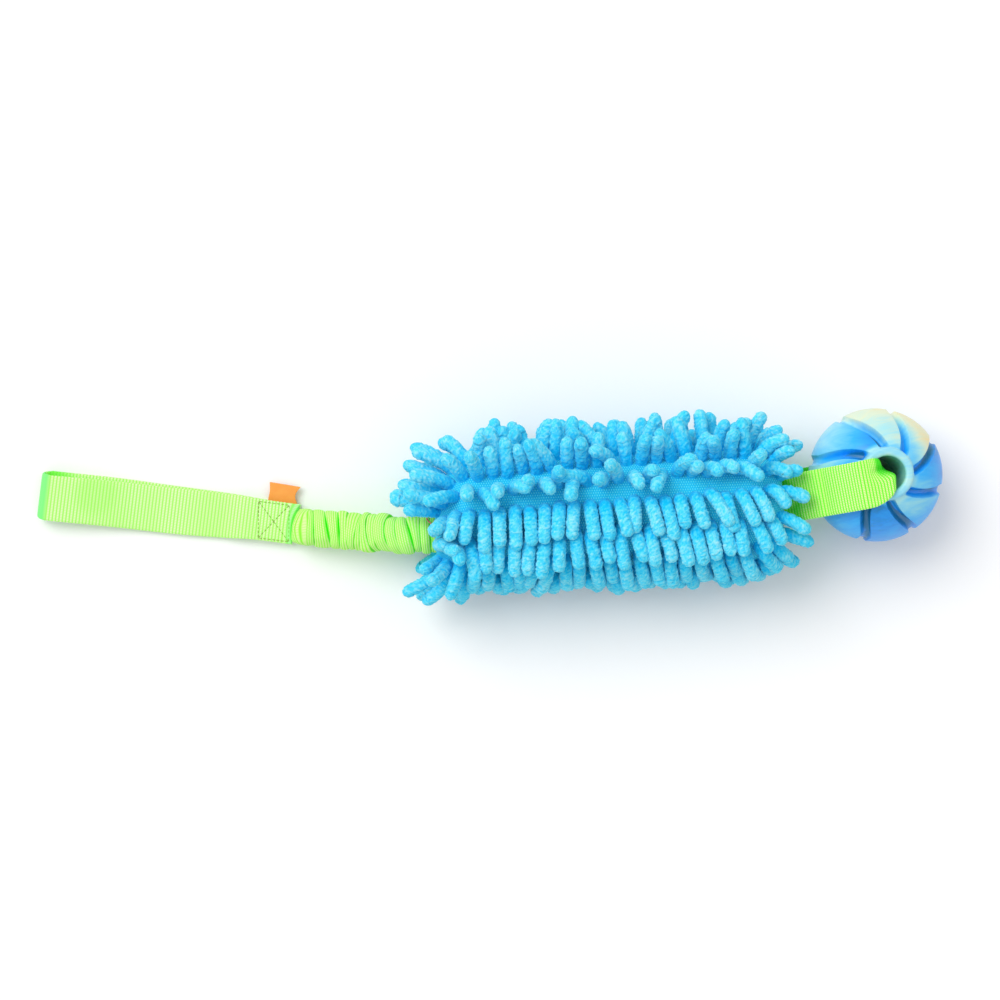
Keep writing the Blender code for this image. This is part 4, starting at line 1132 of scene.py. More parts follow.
def cover_point(x, turn, depth=0.0):
    middle_point, radius = cover_ring(x)
    return middle_point + around(turn) * (radius - depth)[..., None]


def cover_normal(x, turn):
    held = np.clip(x, STEP - MOP_LENGTH / 2.0, MOP_LENGTH / 2.0 - STEP)
    along = cover_point(held + STEP, turn) - cover_point(held - STEP, turn)
    aside = cover_point(held, turn + 0.01) - cover_point(held, turn - 0.01)
    return unit(np.cross(aside, along))


print("ball end is", BALL_END_SHIFT[1], "m above the middle")

# %% [markdown]
# ## Knitted backing
#
# Between the rows of noodles the cloth itself shows, a fine stretchy knit with rows of small
# paler loops. It is one skin with an outside and an inside, closed at its rims. The loops are far
# too fine to model, so two crossing waves in the finish make them. The cloth is a little slack,
# which shows as shallow swells.
# The finish paints light on the loops and shade in the ground between them.

# %% The cloth of the body
COVER_SIDES = 160
COVER_ROWS = 220
LOOP_ACROSS = 1.4 * MM
LOOP_ALONG = 1.25 * MM
SLACK = 0.35 * MM
SHOULDER_ROWS = 40


def knit_finish(wire):
    """Offset rows of loops with painted light, on a deeper ground with painted shade."""
    rest = rest_of(wire)
    along, across, _ = rest.parts()
    loops = along.wave(LOOP_ALONG, wire.math("FLOOR", across / LOOP_ACROSS) * math.pi)
    rows = wire.math("ABSOLUTE", wire.math("SINE", across * (math.pi / LOOP_ACROSS)))
    raised = loops.step(0.3, 0.9) * rows.step(0.3, 0.9)
    soft = rest.noise(90.0, 3.0)
    # Painted light on the raised loops and painted shade in the ground; the soft noise is a random
    # tone.
    base = raised.mix(soft.mix(colour("#00BEEA"), colour("#04D4F6")), colour("#62F0FF"))
    return {"Base_Color": base, "Normal": (raised + soft * 0.3).bump(0.25 * MM, 0.8)}


blue_knit = finish(
    "blue_knit",
    knit_finish,
    Roughness=0.85,
    Sheen_Weight=0.12,
    Sheen_Roughness=0.5,
    Sheen_Tint=colour("#90ECFF"),
)


def build_backing():
    turn = full_turn(COVER_SIDES)
    shoulder = SHOULDER * np.sin(np.linspace(0.0, math.pi / 2.0, SHOULDER_ROWS))
    straight = np.linspace(0.0, STRAIGHT, COVER_ROWS // 2)
    right = np.concatenate([straight, STRAIGHT + shoulder[1:]])
    x = np.concatenate([-right[:0:-1], right])[:, None]
    depth = SLACK * (np.sin(9.0 * turn + 70.0 * x) * np.sin(140.0 * x + 2.0 * turn) + 1.0) / 2.0
    outer = cover_point(np.broadcast_to(x, depth.shape), turn, depth)
    inner = cover_point(np.broadcast_to(x[::-1], depth.shape), turn, COVER_THICK + 0.0 * depth)
    rest = stacked(runs_of(outer[:, 0])[:, None], turn * COVER_RADIUS, 0.0)
    shape = Shape()
    shape.add(np.concatenate([outer, inner]), np.concatenate([rest, rest[::-1]]), loop=True)
    return shape.piece("mop_backing", blue_knit, "blue_knit", mop_axes)


mop_backing = build_backing()
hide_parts(*[f"noodle_cover_{k + 1}" for k in range(6)])
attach(mop_backing, "mop")

# %% [markdown]
# ## Chenille noodles
#
# Each noodle is a finger of fuzzy yarn sewn to the cloth by one end. On the photograph they lie
# in rows along the body. The rows on the near side are combed over and hang, the ones beyond
# point away, one row stands up at the camera, and at the ends they fan out. A noodle is a round
# rod along a curve of three points: its root, a point straight out from the cloth, and its tip.
#
# The fuzz is made of real small bumps, because the fingers' edges are as fuzzy as their faces.
# Every point is moved a little by chance, and so is every ring, which gives the yarn its faint
# bands. The chance is seeded, so the toy comes out the same each time.

# %% Where the noodles stand and how they lie
# The turn of each row round the body, towards the handle's end and towards the ball's, in degrees.
ROW_TURNS = [(88, 79), (114, 107), (142, 137), (171, 168), (201, 200), (232, 232), (263, 263)]
ROW_TURNS += [(294, 294), (326, 320), (356, 345), (382, 369), (406, 391), (426, 413)]
ROW_GROUPS = [(0, 1), (2, 3), (4, 5), (6, 7, 8), (9, 10), (11, 12)]
TURN_FROM, TURN_TO = -74.0 * MM, 45.0 * MM
# How far some rows lean to +Y and up: first at the handle's end, then at the ball's.
ROW_LEANS = {11: ((0.45, 0.1), (-0.1, -0.1)), 12: ((0.87, 0.0), (0.15, 0.0))}
NO_LEAN = ((0.0, 0.0), (0.0, 0.0))
PITCH = 7.75 * MM
LENGTH = 20.5 * MM
LENGTH_SHARES = (0.84, 1.1)
NOODLE_RADIUS = 3.4 * MM
ROOT_DEPTH = 1.2 * MM
RISE = 9.0 * MM
FLOOR_GAP = 3.7 * MM
# How far the rows are combed over, sag, and stand up at the handle's end: the most, the turn of
# the row where that is, and the spread on both sides of it, in degrees.
COMB_OVER = (2.6, 98.0, 38.0)
SAG = (2.5, 160.0, 42.0)
END_UP = (1.0, 113.0, 32.0)
END_LIFT = np.array([1.1, 0.0, 3.2])
# How far the noodles splay out at the handle's end and at the ball's.
END_SPLAY = (1.3, 0.5)
# Where the ends begin and how soon they are reached, how much less the noodles are combed over at
# the handle's end, how far short of the rims the rows stop, and how a noodle's length differs.
END_STANDS = (72.0 * MM, 12.0 * MM)
END_UPRIGHT = 0.75
END_REACH = 0.8 * MM
END_LONGER = 0.16
END_SHORTER = 0.22
# How much chance there is in a noodle's way, in its way along the body, and in its turn.
STRAY = 0.23
STRAY_ALONG = 0.08
STRAY_TURN = 1.4
STRAY_LIFT = 2.0 * MM
# A noodle that would go into the floor lies down, towards its side if its own way is too steep.
TOO_STEEP = 0.35
# Shares of the shoulder that hold noodles: over and under the ball's strap, and under the sleeve.
OVER_STRAP, UNDER_STRAP, UNDER_SLEEVE = 0.97, 0.75, 0.7
STRAIGHT_DOWN = -0.9
# Where a row starts, as a share of the length that its pitches leave: even rows, then odd ones.
STAGGER = (0.7, 0.3)
# Along the body in millimetres, and how far the combed rows lean along it there.
COMBED_LEAN = [(-90, -0.1), (-74, -0.2), (-62, -0.05), (-46, -0.08), (-36, -0.3), (-26, -0.25)]
COMBED_LEAN += [(-14, 0.2), (0, 0.42), (30, 0.42), (60, 0.6), (90, 0.7)]
FAR_LEAN = [(-90, -0.3), (-60, -0.1), (-30, -0.15), (5, -0.25), (25, -0.02), (50, 0.1)]
FAR_LEAN += [(70, 0.35), (90, 0.4)]
COMBED_ROWS = 5


def bell(degrees, most, at, spread):
    """A value that is highest at one turn and falls away on both sides of it."""
    return most * math.exp(-(((degrees - at + 180.0) % 360.0 - 180.0) / spread) ** 2)


def end_share(x):
    """0 along the body and 1 at the ball's end, or at the handle's end for -x."""
    return ease((x - END_STANDS[0]) / END_STANDS[1])


def at_row(x, ends):
    """A value that changes from one end of the body to the other."""
    share = np.clip((x - TURN_FROM) / (TURN_TO - TURN_FROM), -0.1, 1.1)
    return ends[0] + (ends[1] - ends[0]) * share


def noodle_places(row):
    """Places a pitch apart along one row, measured over the curve of the cloth."""
    half = MOP_LENGTH / 2.0 - END_REACH
    x = np.linspace(-half, half, 801)
    over = cover_point(x, np.radians(at_row(x, ROW_TURNS[row])))
    runs = runs_of(over)
    count = int(runs[-1] / PITCH)
    spare = runs[-1] - count * PITCH
    wanted = spare * STAGGER[row % 2] + PITCH * np.arange(count + 1)
    return np.interp(wanted, runs, x)


def has_room(x, turn):
    """False where the ball's strap comes out, and under the handle's end, where the floor is."""
    share = max(0.0, abs(x) - STRAIGHT) / SHOULDER
    if x > 0.0:
        return share < (OVER_STRAP if math.sin(turn) > 0.0 else UNDER_STRAP)
    return share < UNDER_SLEEVE or math.sin(turn) > STRAIGHT_DOWN


def noodle_curve(x, degrees, length, drift, stray, lean_over):
    """Root, lift and tip of one noodle, in the body's axes."""
    turn = math.radians(degrees)
    root = cover_point(np.array(x), np.array(turn))
    straight = normal = cover_normal(np.array(x), np.array(turn))
    upright = 1.0 - normal[0] ** 2
    upright *= 1.0 - END_UPRIGHT * end_share(-x)
    stands = bell(degrees, *END_UP) if x < 0.0 else 0.0
    splay = END_SPLAY[0] * (1.0 - stands) if x < 0.0 else END_SPLAY[1]
    combed, sags = bell(degrees, *COMB_OVER), bell(degrees, *SAG)
    lean = np.array([drift + splay * normal[0], -combed * upright, -sags * upright])
    lean[1:] += lean_over * upright
    raised = -stands * normal[0] * END_LIFT
    normal, lean = unit(normal + raised), lean + raised
    way = unit(normal + lean + stray)
    tip = root + way * length
    floor = FLOOR_GAP - mop_axes.translation.z
    lift = root + normal * RISE + stray * STRAY_LIFT
    if tip[2] < floor:
        flat = np.array([way[0], way[1], 0.0])
        if np.linalg.norm(flat) < TOO_STEEP:
            flat = np.array([way[0], math.copysign(1.0, root[1]), 0.0])
        drop = floor - root[2]
        tip = root + unit(flat) * math.sqrt(max(0.0, length**2 - drop**2)) + [0.0, 0.0, drop]
    lift[2] = max(lift[2], floor)
    return root - straight * ROOT_DEPTH, lift, tip


def all_noodles():
    """The curves of each row, each with a number for its brightness."""
    chance = np.random.default_rng(7)
    rows = [[] for _ in ROW_TURNS]
    for row, turns in enumerate(ROW_TURNS):
        table = np.array(COMBED_LEAN if row < COMBED_ROWS else FAR_LEAN)
        leans = np.array(ROW_LEANS.get(row, NO_LEAN))
        for x in noodle_places(row):
            degrees = float(at_row(x, turns))
            length = LENGTH * chance.uniform(*LENGTH_SHARES)
            length *= 1.0 + END_LONGER * end_share(-x) - END_SHORTER * end_share(x)
            stray = chance.normal(0.0, STRAY, 3)
            stray[0] += chance.normal(0.0, STRAY_ALONG)
            drift = np.interp(x / MM, table[:, 0], table[:, 1])
            shade = chance.uniform(-1.0, 1.0)
            if has_room(x, math.radians(degrees)):
                degrees += chance.normal(0.0, STRAY_TURN)
                curve = noodle_curve(x, degrees, length, drift, stray, at_row(x, leans))
                rows[row].append((curve, shade))
    return rows


noodle_rows = all_noodles()
print("noodles:", sum(len(row) for row in noodle_rows))

# %% The fuzzy rod
NOODLE_SIDES = 30
RING_STEP = 0.58 * MM
TIP_RINGS = 8
CURVE_STEPS = 60
GRAIN = 0.48 * MM
GRAIN_SOFT = 0.35
BAND = 0.13 * MM
ROOT_NARROW = 0.92
ROOT_SHARE = 0.25
TIP_CLOSED = 0.97
# A noodle's length: shares of the ways from root to lift and from lift to tip, and some more.
LENGTH_BY_ROOT, LENGTH_BY_TIP, TIP_EXTRA = 0.5, 0.7, 2.0 * MM
# The grain fades on the tip, where its radius is less than the noodle's divided by this.
GRAIN_HELD = 1.6
# The tint at the root, deep with painted shade, how much paler it turns towards the tip with
# painted light, over which share of the length, and its chance.
ROOT_TINT, PALER, PALER_OVER = 0.24, 0.36, 0.6
GRAIN_TINT, BAND_TINT, NOODLE_TINT = 0.28, 0.06, 0.06
# Noodles rooted past this, above the ball's strap, go into a piece of their own.
MOUTH_FROM = 74.0 * MM


def rod_line(curve, places):
    """Points at distances along a curve of three points, and their frames without twist."""
    start, lift, tip = curve
    t = np.linspace(0.0, 1.0, CURVE_STEPS)[:, None]
    line = start * (1.0 - t) ** 2 + lift * 2.0 * t * (1.0 - t) + tip * t**2
    runs = runs_of(line)
    spots = np.stack([np.interp(places * runs[-1], runs, line[:, k]) for k in range(3)], axis=1)
    tangent = unit(np.gradient(spots, axis=0))
    bend = np.cross(tip - start, lift - start)
    if np.linalg.norm(bend) < 1e-9:
        bend = np.cross(tip - start, [1.0, 0.3, 0.2])
    side = unit(bend) + 0.0 * tangent
    side = unit(side - tangent * (side * tangent).sum(axis=1, keepdims=True))
    return spots, side, tangent


def add_noodle(shape, curve, shade, chance):
    """One noodle with its grain, its bands and its round tip."""
    root, lift, tip = curve
    by_root, by_tip = np.linalg.norm(lift - root), np.linalg.norm(tip - lift)
    length = by_root * LENGTH_BY_ROOT + by_tip * LENGTH_BY_TIP + TIP_EXTRA
    straight = length - NOODLE_RADIUS
    body = np.arange(0.0, straight, RING_STEP)
    bend = np.linspace(0.0, math.pi / 2.0 * TIP_CLOSED, TIP_RINGS)
    places = np.concatenate([body, straight + NOODLE_RADIUS * np.sin(bend)]) / length
    radius = NOODLE_RADIUS * np.concatenate([np.ones(len(body)), np.cos(bend)])
    radius *= ROOT_NARROW + (1.0 - ROOT_NARROW) * ease(places / ROOT_SHARE)
    spots, side, tangent = rod_line(curve, places)
    up = np.cross(tangent, side)
    turn = full_turn(NOODLE_SIDES)
    grain = chance.uniform(-1.0, 1.0, (len(places), NOODLE_SIDES))
    grain = grain * (1.0 - GRAIN_SOFT) + np.roll(grain, 1, axis=1) * GRAIN_SOFT
    band = chance.uniform(-1.0, 1.0, len(places))[:, None]
    held = np.minimum(radius / NOODLE_RADIUS * GRAIN_HELD, 1.0)[:, None]
    wide = radius[:, None] + (GRAIN * grain + BAND * band) * held
    ring = side[:, None] * np.cos(turn)[:, None] + up[:, None] * np.sin(turn)[:, None]
    points = spots[:, None] + ring * wide[..., None]
    points += tangent[:, None] * (GRAIN * 0.5 * np.roll(grain, 3, axis=0) * held)[..., None]
    # Painted shade deep at the root, turning to painted light towards the tip.
    pale = ROOT_TINT + PALER * ease(places / PALER_OVER)[:, None]
    tint = pale + GRAIN_TINT * grain + BAND_TINT * band + NOODLE_TINT * shade
    tint = np.clip(tint, 0.0, 1.0)
    shape.add(points, stacked((places * length)[:, None], turn * NOODLE_RADIUS, wide + shade), tint)


def chenille_finish(wire):
    """Painted shade between the fingers and light on their tips, paler grains, and a down of fine
    fibre.
    """
    rest = rest_of(wire)
    fibre = rest.noise(1500.0, 3.0, 0.65)
    lump = rest.noise(650.0, 2.0, 0.5)
    shade = tint_of(wire) + (fibre - 0.5) * 0.55 + (lump - 0.5) * 0.12
    stops = [(0.0, "#00B8EC"), (0.3, "#06CCFF"), (0.6, "#58E0FF"), (1.0, "#B0F4FF")]
    return {"Base_Color": shade.ramp(stops), "Normal": (fibre + lump).bump(0.3 * MM, 0.9)}


blue_chenille = finish(
    "blue_chenille",
    chenille_finish,
    Roughness=0.9,
    Specular_IOR_Level=0.2,
    Sheen_Weight=0.36,
    Sheen_Roughness=0.45,
    Sheen_Tint=colour("#A0F2FF"),
)
grain_chance = np.random.default_rng(21)
mouth_fingers = Shape()
for k, group in enumerate(ROW_GROUPS):
    fingers = Shape()
    for curve, shade in [noodle for row in group for noodle in noodle_rows[row]]:
        by_mouth = curve[0][0] > MOUTH_FROM and curve[0][2] > 0.0
        add_noodle(mouth_fingers if by_mouth else fingers, curve, shade, grain_chance)
    noodles = fingers.piece(f"noodles_{k + 1}", blue_chenille, "blue_chenille", mop_axes)
    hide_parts(f"noodle_cover_{k + 1}")
    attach(noodles, "mop")

mouth_noodles = mouth_fingers.piece("mouth_noodles", blue_chenille, "blue_chenille", mop_axes)
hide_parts("noodle_cover_1", "noodle_cover_6")
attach(mouth_noodles, "mop")
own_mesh(mouth_noodles)

# %% [markdown]
# ## Inside the body
#
# The stuffing is a roll of white wadding, folded over the strap that joins the sleeve to the
# ball's loop. It shows only at the mouths, but it is what makes the body full, so it is made as
# two soft halves with the strap between them.

# %% Wadding and the strap through it
CORE_HALF = 69.0 * MM
CORE_RADIUS = 26.9 * MM
CORE_ROUND = 9.0 * MM
CORE_ROWS = 60
STRAP_HALF = 12.5 * MM
STRAP_ENDS = (71.0 * MM, 76.0 * MM)
STRAP_PITCH = 1.65 * MM
FOLD_GAP = 1.5 * MM
FLUFF = 0.35 * MM


def strap_share(x):
    """0 at the strap's end by the handle and 1 at its end by the ball."""
    return (x + STRAP_ENDS[0]) / (STRAP_ENDS[0] + STRAP_ENDS[1])


def strap_rise(x):
    """The height of the strap's middle above the body's, along the body."""
    return MOUTH_SHIFT[1] + (loop_out.z - MOUTH_SHIFT[1]) * strap_share(x)


def strap_aside(x):
    return MOUTH_SHIFT[0] * (1.0 - strap_share(x))


def core_half(side):
    """Half a roll: an arc from one end of the fold to the other, and back along the fold."""
    turn = np.linspace(0.0, math.pi / 2.0, 12)
    cap = CORE_HALF - CORE_ROUND * (1.0 - np.sin(turn))
    flank = CORE_HALF - CORE_ROUND
    x = np.concatenate([-cap[::-1], np.linspace(-flank, flank, CORE_ROWS)[1:-1], cap])
    share = np.clip((np.abs(x) - flank) / CORE_ROUND, 0.0, 1.0)
    radius = CORE_RADIUS - CORE_ROUND * (1.0 - np.sqrt(1.0 - share**2))
    flat = strap_rise(x) + side * FOLD_GAP
    low = np.arcsin(np.clip(side * flat / radius, -0.99, 0.99))
    arc = low[:, None] + (math.pi - 2.0 * low[:, None]) * np.linspace(0.0, 1.0, 48)
    fluff = FLUFF * np.sin(7.0 * arc + 90.0 * x[:, None]) * np.sin(260.0 * x[:, None] + 3.0 * arc)
    soft = radius[:, None] - np.abs(fluff)
    y, z = soft * np.cos(arc), side * soft * np.sin(arc)
    back = y[:, -1:] + (y[:, :1] - y[:, -1:]) * np.linspace(0.02, 0.98, 24)
    y = np.concatenate([y, back], axis=1)
    z = np.concatenate([z, flat[:, None] + 0.0 * back], axis=1)
    return stacked(x[:, None], y, z)


def wadding_finish(wire):
    rest = rest_of(wire)
    tuft = rest.noise(260.0, 5.0, 0.7, 0.8)
    strand = rest.stretched(1.0, 4.0, 4.0).noise(900.0, 3.0)
    base = (tuft * 0.7 + strand * 0.3).mix(colour("#DDE0E0"), colour("#FBFBF8"))
    return {"Base_Color": base, "Normal": (tuft + strand * 0.4).bump(0.8 * MM)}


def build_core():
    shape = Shape()
    for side in (1.0, -1.0):
        grid = core_half(side)
        shape.add(grid, grid)
    return shape.piece("wadding", white_wadding, "white_wadding", mop_axes)


white_wadding = finish("white_wadding", wadding_finish, Roughness=0.95, Sheen_Weight=0.3)
wadding = build_core()
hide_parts("core_roll")
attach(wadding, "mop")

strap_green_finish = webbing("#F4FFD0", "#B0FF6A", "#6CF430", STRAP_PITCH)
strap_green = finish("strap_green", strap_green_finish, Sheen_Weight=0.15, Sheen_Roughness=0.5)


def build_inner_strap():
    x = np.arange(-STRAP_ENDS[0], STRAP_ENDS[1], STRAP_PITCH / 4.0)
    line = np.stack([x, strap_aside(x), strap_rise(x)], axis=1)
    across = np.tile([0.0, -1.0, 0.0], (len(x), 1))
    shape = Shape()
    shape.add(*strap_grid(line, across, np.full(len(x), STRAP_HALF), STRAP_PITCH))
    return shape.piece("inner_strap", strap_green, "green_webbing", mop_axes)


inner_strap = build_inner_strap()
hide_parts("through_strap")
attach(inner_strap, "mop")

# %% [markdown]
# ## Gathered hems
#
# At each end the cloth is drawn in round what comes out of it and caught with a ring of running
# stitches. The hem is a ring from the cloth's rim in to the opening, with pleats that deepen
# towards the middle. One opening is round, for the sleeve; the other is wide and low, for a strap.

# %% Hems and their stitches
HEM_THICK = 2.4 * MM
HEM_IN = 90.0 * MM
HEM_PLEATS = 22
PLEAT = 0.55 * MM
PLEAT_WANDERS = 1.3
PLEAT_AT_RIM, PLEAT_DEEPENS = 0.35, 0.65
HEM_SIDES = 264
HEM_ROWS = 16
HEM_FROM_CLOTH = 0.5 * MM
HEM_STITCHES = 18
# Where the ring of stitches lies between rim and opening, and how much of its pitch one fills.
STITCH_RING = 0.3
STITCH_FILLS = 0.62
STITCH_RINGS = 12
STITCH_ARCH = 0.7 * MM
STITCH_SINKS = 0.25 * MM
YARN_RADIUS = 0.45 * MM
YARN_SIDES = 10
SLEEVE_OPENING = (11.3 * MM, 11.3 * MM, 2.0)
STRAP_OPENING = (13.7 * MM, 5.0 * MM, 3.2)


def opening_edge(turn, wide, high, power):
    """The distance to the edge of an opening, round where power is 2 and squarer above."""
    reach = (np.abs(np.cos(turn)) / wide) ** power + (np.abs(np.sin(turn)) / high) ** power
    return reach ** (-1.0 / power)


def hem_point(end, share, turn, out):
    """A point of the hem: share is 0 at the cloth's rim and 1 at the opening."""
    centre, radius = cover_ring(np.array(end * HEM_IN))
    hole = np.array([0.0, *(loop_out.yz if end > 0 else MOUTH_SHIFT)])
    opening = STRAP_OPENING if end > 0 else SLEEVE_OPENING
    rim = centre * (0.0, 1.0, 1.0) + around(turn) * (radius - COVER_THICK - HEM_FROM_CLOTH)
    edge = hole + around(turn) * opening_edge(turn, *opening)[..., None]
    place = rim + (edge - rim) * np.asarray(share)[..., None]
    place[..., 0] = end * (HEM_IN - HEM_THICK / 2.0) + out
    return place


def build_hem(end, name):
    share, turn = np.meshgrid(np.linspace(0.0, 1.0, HEM_ROWS), full_turn(HEM_SIDES), indexing="ij")
    waves = np.sin(HEM_PLEATS * turn + PLEAT_WANDERS * np.sin(3.0 * turn))
    pleat = PLEAT * waves * (PLEAT_AT_RIM + PLEAT_DEEPENS * share)
    bulge = HEM_THICK / 2.0 * np.sqrt(np.maximum(0.0, 1.0 - np.abs(2.0 * share - 1.0) ** 6))
    upper, lower = (hem_point(end, share, turn, pleat + side * bulge) for side in (1.0, -1.0))
    grid = np.concatenate([upper, lower[::-1][1:-1]])
    rest = np.stack([grid[..., 1], grid[..., 2], grid[..., 0]], axis=-1)
    shape = Shape()
    shape.add(grid, rest, loop=True)
    return shape.piece(name, blue_knit, "blue_knit", mop_axes)


blue_yarn = finish("blue_yarn", thread_finish("#5FC8F0", "#1787BE"), Roughness=0.6, Sheen_Weight=0.2)


def build_hem_stitches(end, name):
    shape = Shape()
    one = np.linspace(0.0, 1.0, STITCH_RINGS)
    arch = np.sin(math.pi * one) * STITCH_ARCH
    out = end * (HEM_THICK / 2.0 + arch - STITCH_SINKS + PLEAT * 0.5)
    for start in full_turn(HEM_STITCHES):
        turn = start + one * STITCH_FILLS * 2.0 * math.pi / HEM_STITCHES
        line = hem_point(end, STITCH_RING + 0.0 * one, turn, out)
        shape.add(*rod(line, YARN_RADIUS, YARN_SIDES))
    return shape.piece(name, blue_yarn, "blue_thread", mop_axes)


for end, side in ((-1, "handle"), (1, "ball")):
    hem = build_hem(end, f"{side}_end_gathers")
    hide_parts(f"{side}_end_hem")
    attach(hem, "mop")
    stitches = build_hem_stitches(end, f"{side}_end_stitches")
    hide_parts(f"{side}_end_hem_thread")
    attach(stitches, "mop")

# %% [markdown]
# ## The ball's loop
#
# One strap comes out of the body, goes over the ball, down through its bore and back underneath.
# It is laid out in the axes of its joint, with X towards the ball. Stations give its middle, its
# half width and how far its edges curl up where the bore squeezes it. At the mouth the strap
# doesn't fold evenly: the far half dives first and leaves a dimple, and the near half bulges over.

# %% Stations of the strap
BALL_REACH = 51.8 * MM
BALL_ASIDE = 3.4 * MM
BALL_TILT = 4.0
LOOP_PITCH = 1.63 * MM
LOOP_TUCK = 19.0 * MM
LOOP_PARTS_AT = -6.0 * MM
LOOP_APART = 2.0 * MM
LOWER_ASIDE = 1.6 * MM
ROUND_BALL = 36.35 * MM
LEAVES_BALL = 40.0
RAMP_SHARES = (0.35, 0.7)
LOOP_COLUMNS = 25
LOOP_SMOOTHING = 50
LOOP_CURL = 4.0 * MM
DIVE = 5.6 * MM
LOWER_DIVE = 0.4
# The places across the strap, as shares of its half width, that start to dive and over how much.
DIVE_FROM, DIVE_OVER = -0.2, 0.65
DIMPLE = 3.6 * MM
# Where the dimple is across the strap, how wide it is, and how far it bulges out below the ball.
DIMPLE_AT, DIMPLE_WIDE, LOWER_DIMPLE = -0.36, 0.2, -0.4
# Along from the ball's middle, height above it and half width, in millimetres, and between the
# first two how far aside as a share. The last two are the shares of the curl and of the dive.
INTO_BORE = [
    (-14.3, 0.0, 35.95, 12.5, 0.0, 0.0),
    (-9.45, 0.05, 36.25, 12.5, 0.0, 0.05),
    (-4.05, 0.30, 36.55, 11.7, 0.0, 0.5),
    (0.0, 0.60, 36.75, 10.25, 0.0, 0.85),
    (2.6, 0.85, 36.05, 8.3, 0.16, 1.0),
    (3.0, 1.0, 33.4, 7.2, 1.0, 1.0),
    (3.0, 1.0, 30.5, 6.9, 1.0, 0.7),
    (3.0, 1.0, 11.5, 6.7, 1.0, 0.0),
]
ball_tilt = np.array(Matrix.Rotation(math.radians(BALL_TILT), 3, "Y"))


def loop_stations(side):
    """From inside the body to the middle of the bore, over the ball or under it."""
    lead = (BALL_REACH - LOOP_PARTS_AT, -LOOP_APART)
    rise = math.asin(ROUND_BALL / math.hypot(*lead)) + math.atan2(lead[1], lead[0])
    run = math.sqrt(lead[0] ** 2 + lead[1] ** 2 - ROUND_BALL**2)
    over, dives = (0.0, DIVE) if side > 0 else (LOWER_ASIDE, DIVE * LOWER_DIVE)
    places = [(-LOOP_TUCK, LOOP_APART), (LOOP_PARTS_AT, LOOP_APART)]
    for share in RAMP_SHARES:
        out, up = run * share * math.cos(rise), run * share * math.sin(rise)
        places.append((LOOP_PARTS_AT + out, LOOP_APART + up))
    for polar in np.linspace(math.pi / 2.0 - rise, math.radians(LEAVES_BALL + side * BALL_TILT), 9):
        places.append((BALL_REACH - ROUND_BALL * math.sin(polar), ROUND_BALL * math.cos(polar)))
    stations = [(x, over, side * z, STRAP_HALF, 0.0, 0.0) for x, z in places]
    for x, aside, z, half, curl, dive in INTO_BORE:
        place = ball_tilt @ np.array([x * MM, 0.0, side * z * MM])
        place += [BALL_REACH, over + (BALL_ASIDE - over) * aside, 0.0]
        stations.append((*place, half * MM, curl * LOOP_CURL, dive * dives))
    return stations


def dive_share(up):
    """How far each place across the strap follows the dive: all of the far edge, none of the near."""
    return ease((up - DIVE_FROM) / DIVE_OVER)


def build_loop():
    table = np.array(loop_stations(1) + loop_stations(-1)[::-1])
    line, _ = spaced(table, LOOP_PITCH / ROWS_A_RIB)
    line = smoothed(line, LOOP_SMOOTHING)
    across = np.tile([0.0, -1.0, 0.0], (len(line), 1))
    shares, _ = section(LOOP_COLUMNS)
    curl, dive = -line[:, 4:5] * shares**2, line[:, 5:6]
    points, rest = strap_grid(
        line[:, :3], across, line[:, 3], LOOP_PITCH, lift=curl, columns=LOOP_COLUMNS
    )
    points[..., 0] -= dive * dive_share(-shares)
    dimple = DIMPLE * np.exp(-(((shares - DIMPLE_AT) / DIMPLE_WIDE) ** 2))
    points[..., 2] -= dive / DIVE * dimple * np.where(line[:, 2:3] > 0.0, 1.0, LOWER_DIMPLE)
    shape = Shape()
    shape.add(points, rest)
    turns = rest[np.argmax(line[:, 0] > BALL_REACH + 2.0 * MM), 0, 0]
    out = rest[np.argmax(line[:, 0] > 2.0 * MM), 0, 0]
    return shape, turns, out


loop_shape, LOOP_TURNS, LOOP_OUT = build_loop()
print("the strap turns down", round(LOOP_TURNS, 4), "m along")

# %% The strap's shade and finish
# Along the strap, where shade is painted: at the mouth and in patches there, at the turn into the
# bore, inside the bore, and in the dimple. Across it: the far half, which is what turns and has
# the dimple.
MOUTH_SHADE = (LOOP_OUT, LOOP_OUT + 14.0 * MM)
MOUTH_PATCHES = (LOOP_OUT + 6.0 * MM, LOOP_OUT + 14.0 * MM)
TURN_SHADE = (LOOP_TURNS - 5.0 * MM, LOOP_TURNS)
BORE_SHADE = (LOOP_TURNS + 1.0 * MM, LOOP_TURNS + 3.0 * MM)
DIMPLE_SHADE = (LOOP_TURNS - 4.5 * MM, LOOP_TURNS + 0.5 * MM)
TURN_HALF = (-5.0 * MM, 1.0 * MM)
DIMPLE_HALF = (-3.0 * MM, 2.0 * MM)
# How deep the shade is at the mouth, and what a full shade takes from the ribs and the dots.
MOUTH_DEPTH = 0.6
RIBS_LOSE, DOTS_LOSE = 0.8, 0.75


def loop_shade(top, spot, along, across):
    """Painted shade closes the weave where noodles shade it, where it turns into the bore, and inside.
    """
    mouth = 1.0 - along.step(*MOUTH_SHADE)
    turned = along.step(*TURN_SHADE) * (1.0 - across.step(*TURN_HALF))
    deep = along.math("MAXIMUM", turned, mouth * MOUTH_DEPTH)
    deep = along.math("MAXIMUM", deep, along.step(*BORE_SHADE))
    return top * (1.0 - deep * RIBS_LOSE), spot * (1.0 - deep * DOTS_LOSE)


